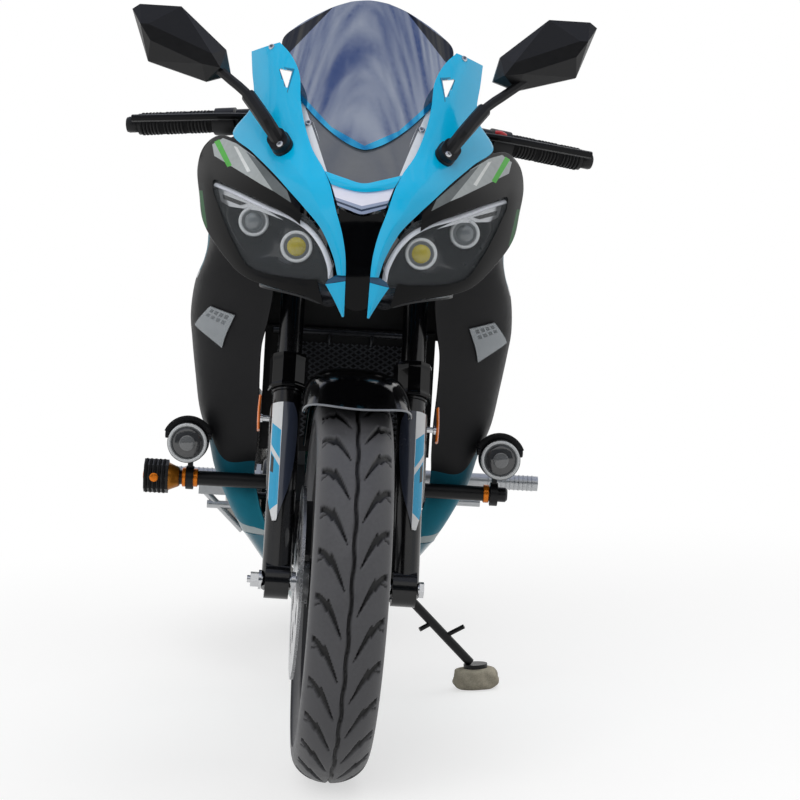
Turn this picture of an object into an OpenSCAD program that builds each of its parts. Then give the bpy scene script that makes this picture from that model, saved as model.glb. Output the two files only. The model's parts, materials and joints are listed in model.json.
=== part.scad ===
// Faired sport motorcycle parked on its side stand, with the stand's foot on a stone.
// The bike is drawn upright, nose towards -Y and its left side towards +X, on ground at Z = 0,
// and then leaned onto its stand by the module parked(). All lengths are millimetres.

/* [Parking] */
// Lean towards the side stand, degrees
lean = 6; // [5.5:0.1:7]
// Steering angle at rest, degrees towards the bike's left
steer_rest = 2.5; // [0:0.5:4]
// Height of the stone under the stand's foot
stone_h = 37; // [32:1:42]

/* [Wheels] */
// Distance between the axles
wheelbase = 1380; // [1360:5:1420]
// Outside diameter of the front tyre
front_tyre_d = 586; // [576:1:594]
// Section width of the front tyre
front_tyre_w = 110; // [104:1:114]
// Outside diameter of the rear tyre
rear_tyre_d = 628; // [618:1:638]
// Section width of the rear tyre
rear_tyre_w = 140; // [132:1:144]
// Height of the front tyre's side wall, bead to crown
front_side_h = 77; // [72:1:80]
// Height of the rear tyre's side wall, bead to crown
rear_side_h = 98; // [92:1:102]
// Number of spokes in each wheel
spokes = 5; // [4:1:7]
// Diameter of both wheel axles
axle_d = 17; // [14:0.5:20]
// Diameter of the front brake disc
front_disc_d = 290; // [270:2:300]
// Diameter of the rear brake disc
rear_disc_d = 220; // [200:2:230]

/* [Steering] */
// Rake of the steering axis from vertical, degrees
rake = 25; // [24:0.25:26]
// Distance of the fork legs ahead of the steering axis
fork_offset = 38; // [34:1:42]
// Distance from fork leg to fork leg
fork_spacing = 192; // [190:1:198]
// Diameter of the fork's upper tubes
stanchion_d = 38; // [35:1:40]
// Diameter of the fork's lower legs
slider_d = 44; // [42:1:48]
// Diameter of the steering stem
stem_d = 28; // [25:1:32]
// Diameter of the handlebar tubes under the grips
bar_d = 22; // [20:0.5:24]
// Diameter of the rubber grips
grip_d = 34; // [30:1:36]

/* [Bodywork] */
// Thickness of the plastic panels
panel_t = 3; // [2.5:0.1:3.5]
// Gap left between neighbouring panels
panel_gap = 0.6; // [0.4:0.1:0.8]
// Thickness of the windscreen
screen_t = 4; // [3:0.25:5]
// Gap between the front tyre and its mudguard
fender_gap = 31; // [26:1:34]

/* [Fittings] */
// Diameter of the crash bar tubes
crash_bar_d = 24; // [20:1:26]
// Diameter of the fog lamp bodies
fog_lamp_d = 64; // [58:1:68]
// Diameter of the paddock stand bobbins on the swingarm
spool_d = 18; // [14:0.5:22]
// Diameter of the number plate bracket holes
plate_hole_d = 7; // [5:0.5:8]
// Diameter of the side stand's leg
stand_leg_d = 16; // [14:1:20]
// Diameter of the side stand's pivot pin
stand_pin_d = 12; // [10:0.5:14]

/* [Hidden] */
$fn = 48;

// Running clearance of a shaft in its bore, on the radius
run_fit = 0.05;
// Clearance of a bolted or clamped seat, on the radius
seat_fit = 0.15;
// Gap between pieces of one body that rest on each other
rest_gap = 0.3;
joint_overlap = 2;

front_r = front_tyre_d / 2;
rear_r = rear_tyre_d / 2;
front_rim_r = front_r - front_side_h;
rear_rim_r = rear_r - rear_side_h;
fork_x = fork_spacing / 2;

// Steering geometry: the axis leans back through the middle of the frame's head tube.
head_y = -407;
head_z = 810;
head_len = 130;
head_d = 56;
fork_y0 = head_y - fork_offset * cos(rake);
fork_z0 = head_z + fork_offset * sin(rake);
function fork_y(z) = fork_y0 + (z - fork_z0) * tan(rake);
front_axle_y = fork_y(front_r);
rear_axle_y = front_axle_y + wheelbase;

// The part's frame has its origin under the middle of its own box.
origin_shift = [-94.12, -10.62, 0];
crown_front = front_tyre_w * 0.55;
crown_rear = rear_tyre_w * 0.54;
lean_z = (crown_front + crown_rear) / 2;

// Placement modules

module parked() {
  translate(origin_shift) translate([0, 0, lean_z]) rotate([0, lean, 0]) translate([0, 0, -lean_z])
    children();
}

module steered() {
  parked() on_steering_axis() rotate([0, 0, steer_rest]) off_steering_axis() children();
}

module on_steering_axis() {
  translate([0, head_y, head_z]) rotate([-rake, 0, 0]) children();
}

module off_steering_axis() {
  rotate([rake, 0, 0]) translate([0, -head_y, -head_z]) children();
}

module both_sides() {
  children();
  mirror([1, 0, 0]) children();
}

// Turns a profile drawn in (y, z) into a plate that runs from x0 to x1.
module plate_x(x0, x1) {
  translate([x0, 0, 0]) rotate([90, 0, 90]) linear_extrude(height = x1 - x0) children();
}

module shaft_x(x0, x1, y, z, d) {
  translate([x0, y, z]) rotate([0, 90, 0]) cylinder(h = x1 - x0, d = d);
}

module rod(a, b, d) {
  v = b - a;
  translate(a) rotate([0, acos(v.z / norm(v)), atan2(v.y, v.x)]) cylinder(h = norm(v), d = d);
}

// Curve and surface functions

function mix(a, b, t) = a + (b - a) * t;

// Point at parameter u on a smooth curve through the rows of a table.
function on_curve(rows, u) =
  let (n = len(rows) - 1, i = min(floor(u), n - 1), t = u - i)
  let (a = rows[max(i - 1, 0)], b = rows[i], c = rows[i + 1], d = rows[min(i + 2, n)])
  0.5 * (2 * b + (c - a) * t + (2 * a - 5 * b + 4 * c - d) * t * t + (3 * b - a - 3 * c + d) * t * t * t);
function smooth(rows, steps) = [for (k = [0 : steps]) on_curve(rows, k * (len(rows) - 1) / steps)];

function two(a, b, c, d) = [[a, b, c], [a, c, d]];
function flip(faces, yes) = [for (f = faces) yes ? [f[2], f[1], f[0]] : f];

// Closed panel between an outer and an inner grid of points of the same size.
module panel(outer, inner) {
  m = len(outer) - 1;
  n = len(outer[0]) - 1;
  w = n + 1;
  k = (m + 1) * w;
  o = outer[floor(m / 2)][floor(n / 2)];
  along = outer[floor(m / 2) + 1][floor(n / 2)] - o;
  across = outer[floor(m / 2)][floor(n / 2) + 1] - o;
  outward = o - inner[floor(m / 2)][floor(n / 2)];
  faces = concat(
    [for (i = [0 : m - 1], j = [0 : n - 1])
      each two(i * w + j, (i + 1) * w + j, (i + 1) * w + j + 1, i * w + j + 1)],
    [for (i = [0 : m - 1], j = [0 : n - 1])
      each two(k + i * w + j, k + i * w + j + 1, k + (i + 1) * w + j + 1, k + (i + 1) * w + j)],
    [for (i = [0 : m - 1]) each two(i * w, k + i * w, k + (i + 1) * w, (i + 1) * w)],
    [for (i = [0 : m - 1])
      each two(i * w + n, (i + 1) * w + n, k + (i + 1) * w + n, k + i * w + n)],
    [for (j = [0 : n - 1]) each two(j, j + 1, k + j + 1, k + j)],
    [for (j = [0 : n - 1]) each two(m * w + j, k + m * w + j, k + m * w + j + 1, m * w + j + 1)]
  );
  polyhedron(
    points = concat([for (r = outer) each r], [for (r = inner) each r]),
    faces = flip(faces, cross(along, across) * outward > 0)
  );
}

// Closed solid through rings of the same number of points, with flat ends.
module loft(rings) {
  m = len(rings) - 1;
  n = len(rings[0]);
  middle = floor(m / 2);
  centre = [for (a = [0 : 2]) [for (p = rings[middle]) p[a]] * [for (p = rings[middle]) 1] / n];
  side = cross(rings[middle + 1][0] - rings[middle][0], rings[middle][1] - rings[middle][0]);
  faces = concat(
    [for (i = [0 : m - 1], j = [0 : n - 1])
      each two(i * n + j, (i + 1) * n + j, (i + 1) * n + (j + 1) % n, i * n + (j + 1) % n)],
    [for (j = [1 : n - 2]) [0, j, j + 1]],
    [for (j = [1 : n - 2]) [m * n, m * n + j + 1, m * n + j]]
  );
  polyhedron(points = [for (r = rings) each r],
    faces = flip(faces, side * (rings[middle][0] - centre) > 0));
}

// Round tube swept along a smooth path through a few points.
module tube(path, d, steps = 16, sides = 10) {
  p = smooth(path, steps);
  along = [for (i = [0 : steps]) let (v = p[min(i + 1, steps)] - p[max(i - 1, 0)]) v / norm(v)];
  ref = abs(along[0].x) < 0.8 ? [1, 0, 0] : [0, 0, 1];
  loft([for (i = [0 : steps])
    let (e = cross(along[i], ref), a = e / norm(e), b = cross(along[i], a))
    [for (s = [0 : sides - 1]) p[i] + d / 2 * (a * cos(360 * s / sides) + b * sin(360 * s / sides))]]);
}

// Superellipse ring in the plane of one y, between a top and a bottom height.
function oval(y, half_w, top, bottom, power, sides) =
  [for (s = [0 : sides - 1])
    let (c = cos(360 * s / sides), q = sin(360 * s / sides))
    [half_w * sign(c) * pow(abs(c), power), y,
     (top + bottom) / 2 + (top - bottom) / 2 * sign(q) * pow(abs(q), power)]];

// Grid moved along its own normals by a thickness; the sign of t picks the side.
function thickened(g, t) =
  let (m = len(g) - 1, n = len(g[0]) - 1)
  [for (i = [0 : m]) [for (j = [0 : n])
    let (a = g[min(i + 1, m)][j] - g[max(i - 1, 0)][j], b = g[i][min(j + 1, n)] - g[i][max(j - 1, 0)])
    let (c = cross(a, b))
    g[i][j] + t * c / max(norm(c), 0.001)]];

module sheet(grid, t) {
  panel(grid, thickened(grid, t));
}

// Nose surface: how far forward a point of the front view lies.
nose_curve = 290;
nose_line = [[690, -790], [760, -798], [843, -785], [884, -768], [910, -745], [960, -702],
  [1010, -662], [1110, -590]];
function nose_y(x, z) = lookup(z, nose_line) + x * x / nose_curve;

// Windscreen surface.
screen_curve = 400;
function screen_y(x, z) = -765.5 + (z - 888) * 1.11 + x * x / screen_curve;

// Layers of the nose: a piece that lies under another is set back by one of these.
under = panel_t + 2 * panel_gap;

// Grid over pairs of points of the front view: rows are [x, z of one edge, x, z of the other].
function nose_grid(rows, steps, across, set_back) =
  let (r = smooth(rows, steps))
  [for (i = [0 : steps]) [for (j = [0 : across])
    let (x = mix(r[i][0], r[i][2], j / across), z = mix(r[i][1], r[i][3], j / across))
    [x, nose_y(x, z) + set_back, z]]];

module nose_sheet(rows, steps, across, set_back = 0) {
  g = nose_grid(rows, steps, across, set_back);
  panel(g, [for (r = g) [for (p = r) p + [0, panel_t, 0]]]);
}

// Columns: edge by the screen x, z; outer and lower edge x, z. From the ear down to the blade's end.
cowl_rows = [
  [136, 1102, 180, 1088], [116, 1080, 176, 1054], [102, 1050, 171, 1020], [98, 1012, 176, 994],
  [90, 975, 199, 957], [76, 937, 166, 929], [58, 908, 131, 898], [47, 884, 104, 871],
  [37, 850, 84, 851], [26, 816, 57, 821], [19.5, 784, 38, 784], [17.5, 756, 30, 756]
];
// Ridge under the screen, columns: lower edge x, z; upper edge x, z.
ridge_rows = [[-46, 886, -56, 905], [-24, 880, -26, 896], [0, 877, 0, 890], [24, 880, 26, 896],
  [46, 886, 56, 905]];
// Tooth below each blade, columns: inner x, z; outer x, z.
fang_rows = [[17.5, 748, 46, 742], [17, 722, 32.5, 720], [16.5, 697, 19.5, 696]];
// Opening in each ear, front view.
vent = [[134, 1060], [114, 1056], [120, 1026]];

module nose_cowl() {
  color("deepskyblue") parked() {
    both_sides() {
      difference() {
        nose_sheet(cowl_rows, 26, 4);
        translate([0, -400, 0]) rotate([90, 0, 0]) linear_extrude(height = 400) polygon(vent);
      }
      nose_sheet(fang_rows, 4, 2);
    }
    nose_sheet(ridge_rows, 8, 2);
  }
}

// Black panel between the blades, columns: x, z of the upper edge; x, z of the lower edge.
nose_panel_rows = [[-33, 853, -27, 752], [-20, 847, -20, 716], [0, 842, 0, 706], [20, 847, 20, 716],
  [33, 853, 27, 752]];

module nose_panel() {
  color("black") parked() nose_sheet(nose_panel_rows, 8, 6, under - 0.5);
}

// White lamp above the panel, columns: x, z of the upper edge; x, z of the lower edge.
running_rows = [[-46, 887, -35, 856], [-22, 884, -18, 850], [0, 881, 0, 845], [22, 884, 18, 850],
  [46, 887, 35, 856]];

module running_lamp() {
  color("white") parked() nose_sheet(running_rows, 8, 3, under);
}

// Headlamp lens, columns: upper edge x, z; lower edge x, z. From the inner to the outer end.
lens_rows = [[45, 770, 47, 742], [62, 802, 70, 742], [90, 833, 100, 742], [125, 852, 140, 748],
  [165, 868, 170, 756], [200, 882, 195, 790], [227, 890, 222, 855]];

module headlamp_lenses() {
  color("lightgray") parked() both_sides() nose_sheet(lens_rows, 16, 6, under + 0.6);
}

// Reflector bowls behind the lenses: the same outline, hollowed towards the back.
bowl_deep = 72;
projector_tail = 14;
function hollow(u) = 1 - pow(2 * u - 1, 4);
function bowl_grid(extra) =
  let (g = nose_grid(lens_rows, 12, 8, 2 * under + 1))
  [for (i = [0 : 12]) [for (j = [0 : 8])
    g[i][j] + [0, extra + bowl_deep * hollow(i / 12) * hollow(j / 8), 0]]];
// Projectors, columns: x, z, lens diameter, distance of the front behind the lens.
projectors = [[157, 826, 44, 34], [91, 793, 46, 24]];

module headlamp_bowls() {
  color("dimgray") parked() both_sides() {
    panel(bowl_grid(0), bowl_grid(panel_t));
    for (p = projectors)
      translate([p[0], nose_y(p[0], p[1]) + under + panel_t + p[3], p[1]]) rotate([-90, 0, 0]) {
        cylinder(h = bowl_deep + projector_tail - p[3], d = p[2]);
        translate([0, 0, -3]) difference() {
          cylinder(h = 6, d = p[2] + 4);
          translate([0, 0, -1]) cylinder(h = 5, d = p[2] - 6);
        }
      }
  }
}

// Black shell round each headlamp, columns: edge by the lens x, z; outer edge x, z.
shell_rows = [
  [87, 825, 89, 853.5], [105, 837, 112, 876], [135, 851, 151, 912], [165, 864, 191, 946],
  [202, 878, 222, 954], [222, 885, 245, 936], [222, 868, 252, 903], [213, 848, 245, 862],
  [200, 820, 236, 822], [182, 788, 213, 788], [160, 760, 175, 750], [130, 751, 138, 735],
  [98, 748, 86, 726], [70, 747, 62, 718], [58, 749, 48, 712]
];

module headlamp_shells() {
  color("black") parked() both_sides() nose_sheet(shell_rows, 34, 4);
}

// Underside of the nose, columns: y, half width, z.
chin_rows = [[-772, 54, 715.4], [-767, 85, 724.4], [-727, 138, 733], [-660, 142, 738],
  [-600, 140, 740]];

module chin_panel() {
  r = smooth(chin_rows, 10);
  color("dimgray") parked()
    panel([for (a = r) [for (j = [-4 : 4]) [a[1] * j / 4, a[0], a[2]]]],
      [for (a = r) [for (j = [-4 : 4]) [a[1] * j / 4, a[0] + 2, a[2] - panel_t]]]);
}

// Windscreen, columns: half width, z at the edge, z on the middle line. From the top down.
screen_rows = [[30, 1179, 1183], [64, 1165, 1172], [112, 1134, 1128], [134, 1106, 1075],
  [116, 1058, 1010], [104, 1018, 940]];

module windscreen() {
  r = smooth(screen_rows, 14);
  g = [for (i = [0 : 14]) [for (j = [0 : 12])
    let (u = (j - 6) / 6, x = r[i][0] * u, z = mix(r[i][2], r[i][1], pow(abs(u), 1.6)))
    [x, screen_y(x, z), z]]];
  color("slategray") parked() panel(g, [for (a = g) [for (p = a) p + [0, screen_t, 0]]]);
}

// Grey panel below the screen, columns: x, z of the upper edge; x, z of the lower edge.
flange_rows = [[-104, 1032, -109, 994], [-69, 992, -75, 926], [-34, 961, -48, 898], [0, 947, 0, 886],
  [34, 961, 48, 898], [69, 992, 75, 926], [104, 1032, 109, 994]];

module screen_flange() {
  r = smooth(flange_rows, 14);
  g = [for (i = [0 : 14]) [for (j = [0 : 3])
    let (x = mix(r[i][0], r[i][2], j / 3), z = mix(r[i][1], r[i][3], j / 3))
    [x, screen_y(x, z) + screen_t + panel_gap, z]]];
  color("gray") parked() panel(g, [for (a = g) [for (p = a) p + [0, panel_t, 0]]]);
}

// Cover under the screen that carries the instrument: it runs back from behind the grey panel.
cockpit_top = 975;
cockpit_half = 62;
cockpit_end = -500;
function cockpit_front(x) = screen_y(x, cockpit_top) + screen_t + panel_t + 3 * panel_gap;

module cockpit_panel() {
  g = [for (i = [0 : 4]) [for (j = [-4 : 4])
    let (x = cockpit_half * j / 4)
    [x * (1 + 0.2 * i / 4), mix(cockpit_front(x), cockpit_end, i / 4), cockpit_top]]];
  color("dimgray") parked() panel(g, [for (a = g) [for (p = a) p - [0, 0, panel_t]]]);
}

module instrument() {
  color("black") parked() translate([0, 0, cockpit_top + rest_gap])
    plate_x(-72, 72) polygon([[-580, 0], [-505, 0], [-500, 8], [-540, 52], [-556, 52]]);
}

// Side fairing, columns: z, then x and y of the inner front edge, the corner, the flank, the rear edge.
fairing_rows = [
  [852, 232, -540, 240, -512, 228, -430, 206, -348],
  [800, 172, -568, 222, -528, 234, -390, 208, -236],
  [764, 142, -558, 228, -508, 235, -340, 212, -150],
  [727, 126, -548, 241, -480, 244, -300, 217, -84],
  [677, 131, -526, 248, -450, 247, -280, 222, -36],
  [634, 140, -506, 245, -438, 245, -262, 224, -24],
  [579, 141, -482, 237, -424, 242, -268, 226, -66],
  [520, 139, -455, 227, -412, 235, -280, 224, -128],
  [470, 140, -425, 211, -398, 222, -260, 216, -120],
  [420, 142, -384, 201, -376, 209, -215, 200, -52],
  [362, 130, -372, 177, -352, 187, -190, 179, 4],
  [318, 112, -362, 154, -330, 167, -180, 162, 12]
];
fairing_low = fairing_rows[len(fairing_rows) - 1];
function fairing_curve(row) = [[row[1], row[2], row[0]], [row[3], row[4], row[0]],
  [row[5], row[6], row[0]], [row[7], row[8], row[0]]];

module fairing_half() {
  rows = smooth(fairing_rows, 22);
  sheet([for (r = rows) smooth(fairing_curve(r), 15)], -panel_t);
}

module side_fairing_left() {
  color("dimgray") parked() fairing_half();
}

module side_fairing_right() {
  color("dimgray") parked() mirror([1, 0, 0]) fairing_half();
}

// Belly pan: a keel that carries on below the lower edges of the fairing.
belly_z = 150;

module belly_pan() {
  edge = smooth(fairing_curve(fairing_low), 12);
  top = fairing_low[0] - 2 * panel_gap;
  color("teal") parked()
    sheet([for (p = edge) [for (j = [-6 : 6])
      let (a = 15 * j)
      [p.x * sign(a) * pow(abs(sin(a)), 1.4), p.y, top - (top - belly_z) * pow(cos(a), 2.2)]]], -panel_t);
}

// Front indicators, set on the front face of the fairing, between its rows u and along its curve v.
indicator_rows = [[3.72, 0.74, 4.42, 0.95], [3.95, 0.45, 5.15, 0.56]];
indicator_t = 6;
function fairing_at(u, v) = on_curve(fairing_curve(on_curve(fairing_rows, u)), v);
function indicator_grid(lift) =
  let (g = [for (i = [0 : 5]) [for (j = [0 : 5])
    let (q = mix(indicator_rows[0], indicator_rows[1], i / 5))
    fairing_at(mix(q[0], q[2], j / 5), mix(q[1], q[3], j / 5))]])
  thickened(g, lift);

module front_indicators() {
  color("silver") parked() both_sides()
    panel(indicator_grid(indicator_side * (indicator_t + 0.6)), indicator_grid(indicator_side * 0.6));
}
indicator_side = 1;

// Mirrors on stems: rear outline and front ridge of the head in the front view, and their places in y.
mirror_head = [[197, 1050], [206, 1087], [276, 1147], [338, 1147], [349, 1139], [322, 1063], [234, 1038]];
mirror_ridge = [[212, 1058], [226, 1078], [322, 1116], [334, 1116], [318, 1092], [240, 1062]];
mirror_y = [-640, -592];
mirror_rim = 20;
// How far the two heads are turned from their middle place: x, and z of the left one.
mirror_set = [-8, 7];
mirror_foot = [120, nose_y(120, 940), 940];
mirror_out = [0.538, -0.64, 0.55];
mirror_along = [0.348, 0.763, 0.545];

module mirrors() {
  color("black") parked() for (s = [-1, 1]) mirror([s < 0 ? 1 : 0, 0, 0]) {
    translate([s * mirror_set[0], 0, s * mirror_set[1]]) hull() {
      translate([0, mirror_y[1], 0]) rotate([90, 0, 0])
        linear_extrude(height = mirror_rim) polygon(mirror_head);
      translate([0, mirror_y[0] + 1, 0]) rotate([90, 0, 0])
        linear_extrude(height = 1) polygon(mirror_ridge);
    }
    hull()
      for (t = [-8, 8])
        translate(t * mirror_along)
          rod(mirror_foot + 0.7 * mirror_out, mirror_foot + 17 * mirror_out, 30, $fn = 24);
    tube([mirror_foot + 10 * mirror_out, mirror_foot + [26, -6, 34], [176, -650, 1012]], 22, 6, 10);
    tube([mirror_foot + [26, -6, 34], [176, -650, 1012], [206, -632, 1036], [240, -616, 1062]], 15, 8, 8);
  }
}

// Running gear

tyre_wall = 9;
function crown(w, r, drop, steps) = [for (k = [-steps : steps])
  let (u = k / steps) [w / 2 * sin(90 * u), r - drop * (1 - cos(90 * u))]];

module tyre(r, w, rim_w, rim_r, drop) {
  outer = crown(w, r, drop, 6);
  inner = crown(w - 2 * tyre_wall, r - 1.4 * tyre_wall, drop - 4, 3);
  bead = rim_w / 2 - rest_gap;
  half = concat([[bead, rim_r + rest_gap], [bead, rim_r + flange_h + 1.5], [w / 2 - 4, rim_r + 26]]);
  rotate_extrude($fn = 64) rotate(-90) mirror([0, 1]) polygon(concat(
    [for (q = half) [-q.x, q.y]], outer, [for (k = [2 : -1 : 0]) half[k]],
    [[bead - 11, rim_r + rest_gap]], [for (k = [len(inner) - 1 : -1 : 0]) inner[k]],
    [[11 - bead, rim_r + rest_gap]]));
}

// Puts a thing turned about Z onto the axle, so that it turns about X.
module on_axle(y, z) {
  translate([0, y, z]) rotate([0, 90, 0]) children();
}

rim_wall = 7;
flange_h = 12;
rim_depth = 22;

module rim(rim_r, width, hub_a, hub_b, hub_d) {
  difference() {
    union() {
      rotate_extrude($fn = 64) polygon([
        [rim_r, -width / 2], [rim_r + flange_h, -width / 2], [rim_r + flange_h, -width / 2 - 5],
        [rim_r - rim_wall, -width / 2 - 5], [rim_r - rim_depth, -width / 4],
        [rim_r - rim_depth, width / 4], [rim_r - rim_wall, width / 2 + 5], [rim_r + flange_h, width / 2 + 5],
        [rim_r + flange_h, width / 2], [rim_r, width / 2]
      ]);
      translate([0, 0, hub_a]) cylinder(h = hub_b - hub_a, d = hub_d);
      for (k = [0 : spokes - 1])
        rotate(360 / spokes * k) for (s = [-1, 1])
          rotate(s * 9) translate([0, s * 4, -11]) linear_extrude(height = 22)
            polygon([[hub_d / 2 - 5, -11], [rim_r - rim_depth + 3, -8],
              [rim_r - rim_depth + 3, 8], [hub_d / 2 - 5, 11]]);
    }
    translate([0, 0, hub_a - 1]) cylinder(h = hub_b - hub_a + 2, d = axle_d + 2 * run_fit);
  }
}

front_rim_w = front_tyre_w - 34;
rear_rim_w = rear_tyre_w - 36;
front_hub = 48;
rear_hub = 66;

module front_tyre() {
  color("black") steered() on_axle(front_axle_y, front_r)
    tyre(front_r, front_tyre_w, front_rim_w, front_rim_r, front_side_h * 0.52);
}

module front_rim() {
  color("dimgray") steered() on_axle(front_axle_y, front_r)
    rim(front_rim_r, front_rim_w, -front_hub, front_hub, 74);
}

module rear_tyre() {
  color("black") parked() on_axle(rear_axle_y, rear_r)
    tyre(rear_r, rear_tyre_w, rear_rim_w, rear_rim_r, rear_side_h * 0.49);
}

module rear_rim() {
  color("dimgray") parked() on_axle(rear_axle_y, rear_r)
    rim(rear_rim_r, rear_rim_w, -rear_hub, rear_hub, 86);
}

disc_t = 4.5;
front_disc_x = -66;
rear_disc_x = -86;

// Disc with its carrier, from its outer face at x up to the hub's face.
module disc(x, d, hub) {
  difference() {
    union() {
      translate([0, 0, x]) difference() {
        cylinder(h = disc_t, d = d);
        translate([0, 0, -1]) cylinder(h = disc_t + 2, d = d - 70);
      }
      translate([0, 0, x + 0.5]) cylinder(h = disc_t - 1, d = d - 66);
      translate([0, 0, x + 0.5]) cylinder(h = -x - hub - 0.5 - rest_gap, d = 64);
    }
    translate([0, 0, x - 1]) cylinder(h = 90, d = axle_d + 2 * run_fit);
    for (k = [0 : 5]) rotate(60 * k) translate([d / 4 + 4, 0, x - 1])
      cylinder(h = disc_t + 2, d = d / 9);
  }
}

module front_disc() {
  color("silver") steered() on_axle(front_axle_y, front_r) disc(front_disc_x, front_disc_d, front_hub);
}

module rear_disc() {
  color("silver") parked() on_axle(rear_axle_y, rear_r) disc(rear_disc_x, rear_disc_d, rear_hub);
}

chain_x = [76, 90];
chain_h = 12;
chain_gap = 5.6;
rear_chain_r = 116;
front_chain_r = 36;
drive = [95, 385];
sprocket_r = rear_chain_r - chain_h / 2 - chain_gap;

module rear_sprocket() {
  color("dimgray") parked() on_axle(rear_axle_y, rear_r) difference() {
    union() {
      translate([0, 0, rear_hub + rest_gap]) cylinder(h = chain_x[0] + 10 - rear_hub, d = 90);
      translate([0, 0, chain_x[0] + 4]) linear_extrude(height = 6)
        for (k = [0 : 21]) rotate(360 / 44 * 2 * k) square([2 * sprocket_r, 8], center = true);
      translate([0, 0, chain_x[0] + 4]) cylinder(h = 6, r = sprocket_r - 7);
    }
    translate([0, 0, rear_hub - 1]) cylinder(h = 40, d = axle_d + 2 * run_fit);
  }
}

// Outline that wraps both sprockets at the given extra radius.
module chain_loop(extra) {
  v = [rear_axle_y, rear_r] - drive;
  a = atan2(v.y, v.x);
  tilt = asin((rear_chain_r - front_chain_r) / norm(v));
  function rim_at(c, r, t) = c + r * [cos(t), sin(t)];
  polygon(concat(
    [for (k = [0 : 16]) rim_at(drive, front_chain_r + extra,
      a + 90 + tilt + (180 - 2 * tilt) * k / 16)],
    [for (k = [0 : 24]) rim_at([rear_axle_y, rear_r], rear_chain_r + extra,
      a - 90 - tilt + (180 + 2 * tilt) * k / 24)]));
}

module chain() {
  color("gray") parked() plate_x(chain_x[0], chain_x[1]) difference() {
    chain_loop(chain_h / 2);
    chain_loop(-chain_h / 2);
  }
}

// Steering: pieces drawn along the steering axis, which is their own Z.
fork_len = (fork_z0 - front_r) / cos(rake);
yoke_gap = 6;
yoke_top = 22;
yoke_low = 30;
stanchion_top = head_len / 2 + yoke_gap + yoke_top + 36;
slider_up = 322;

module steer_frame() {
  steered() on_steering_axis() children();
}

module yoke_plate() {
  difference() {
    union() {
      for (s = [-1, 1]) translate([s * fork_x, -fork_offset]) circle(d = stanchion_d + 24);
      circle(d = stem_d + 30);
      polygon([[-fork_x, -fork_offset - 18], [fork_x, -fork_offset - 18], [fork_x, -fork_offset + 20],
        [18, 24], [-18, 24], [-fork_x, -fork_offset + 20]]);
    }
    for (s = [-1, 1]) translate([s * fork_x, -fork_offset]) circle(d = stanchion_d + 2 * seat_fit);
  }
}

module yokes() {
  color("dimgray") steer_frame() {
    translate([0, 0, head_len / 2 + yoke_gap]) linear_extrude(height = yoke_top) yoke_plate();
    translate([0, 0, -head_len / 2 - yoke_gap - yoke_low]) linear_extrude(height = yoke_low) yoke_plate();
    translate([0, 0, -head_len / 2 - yoke_gap - yoke_low + 5])
      cylinder(h = head_len + 2 * yoke_gap + yoke_low + yoke_top, d = stem_d);
  }
}

axle_boss_d = 54;
collar_d = slider_d + 5;

module fork_legs() {
  color("black") steer_frame() both_sides() difference() {
    translate([fork_x, -fork_offset, -fork_len]) {
      translate([0, 0, slider_up - 10])
        cylinder(h = fork_len + stanchion_top - slider_up + 10, d = stanchion_d);
      translate([0, 0, -12]) cylinder(h = slider_up + 12, d = slider_d);
      translate([0, 0, slider_up - 24]) cylinder(h = 28, d = collar_d);
      translate([-slider_d / 2 + 3, 0, 0]) rotate([0, 90, 0]) cylinder(h = slider_d - 8, d = axle_boss_d);
    }
    translate([0, -fork_offset, -fork_len]) rotate([0, 90, 0])
      cylinder(h = 2 * fork_x + 100, d = axle_d + 2 * seat_fit, center = true);
  }
}

module front_axle() {
  inner = fork_x - slider_d / 2 - rest_gap;
  outer = fork_x + slider_d / 2 + rest_gap;
  color("silver") steer_frame() translate([0, -fork_offset, -fork_len]) {
    shaft_x(-outer - 2, outer + 2, 0, 0, axle_d);
    shaft_x(outer, outer + 7, 0, 0, axle_d + 8, $fn = 6);
    shaft_x(-outer - 4, -outer, 0, 0, axle_d + 12);
    shaft_x(-outer - 16, -outer - 3, 0, 0, axle_d + 6, $fn = 6);
    shaft_x(-outer - 21, -outer - 15, 0, 0, axle_d - 6);
    shaft_x(front_hub + 1, inner, 0, 0, axle_d + 12);
    shaft_x(-inner, front_disc_x - 1, 0, 0, axle_d + 12);
  }
}

// Front mudguard, a shell round the tyre; angles run from the top of the wheel to the rear.
// A cup on each side wraps the top of the fork leg.
// Columns of its width: angle, half width.
fender_half = front_tyre_w / 2 + 8;
fender_wide = [[-31, fender_half + 16], [-4, fender_half + 14], [14, fender_half], [52, fender_half]];
fender_drop = 46;
fender_span = [-31, 52];
cup_at = 302;
cup_h = 56;
cup_r = collar_d / 2 + 1.2;

module front_mudguard() {
  r0 = front_r + fender_gap;
  function skin(i, j, r) =
    let (s = (j - 6) / 6, a = mix(fender_span[0] + 12 * s * s, fender_span[1] - 4 * s * s, i / 14))
    let (d = r - fender_drop * pow(abs(s), 2.6))
    [lookup(a, fender_wide) * sin(90 * s), front_axle_y + d * sin(a), front_r + d * cos(a)];
  color("black") steered() {
    sheet([for (i = [0 : 14]) [for (j = [0 : 12]) skin(i, j, r0)]], panel_t);
    both_sides() steer_frame_bare() translate([0, -fork_offset, -fork_len + cup_at]) {
      translate([0, 0, 12]) shaft_x(fender_half - 13, fork_x - collar_d / 2 - rest_gap, 0, 0, 20);
      translate([fork_x, 0, 0]) rotate(176) rotate_extrude(angle = 190)
        translate([cup_r, 0]) square([panel_t, cup_h]);
    }
  }
}

module steer_frame_bare() {
  on_steering_axis() children();
}

// Blades round the front of the lower fork legs, columns: height above the blade's point, half angle.
guard_rows = [[0, 7], [28, 26], [72, 52], [130, 66], [170, 64], [190, 44]];
guard_at = 86;
guard_turn = 22;

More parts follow.
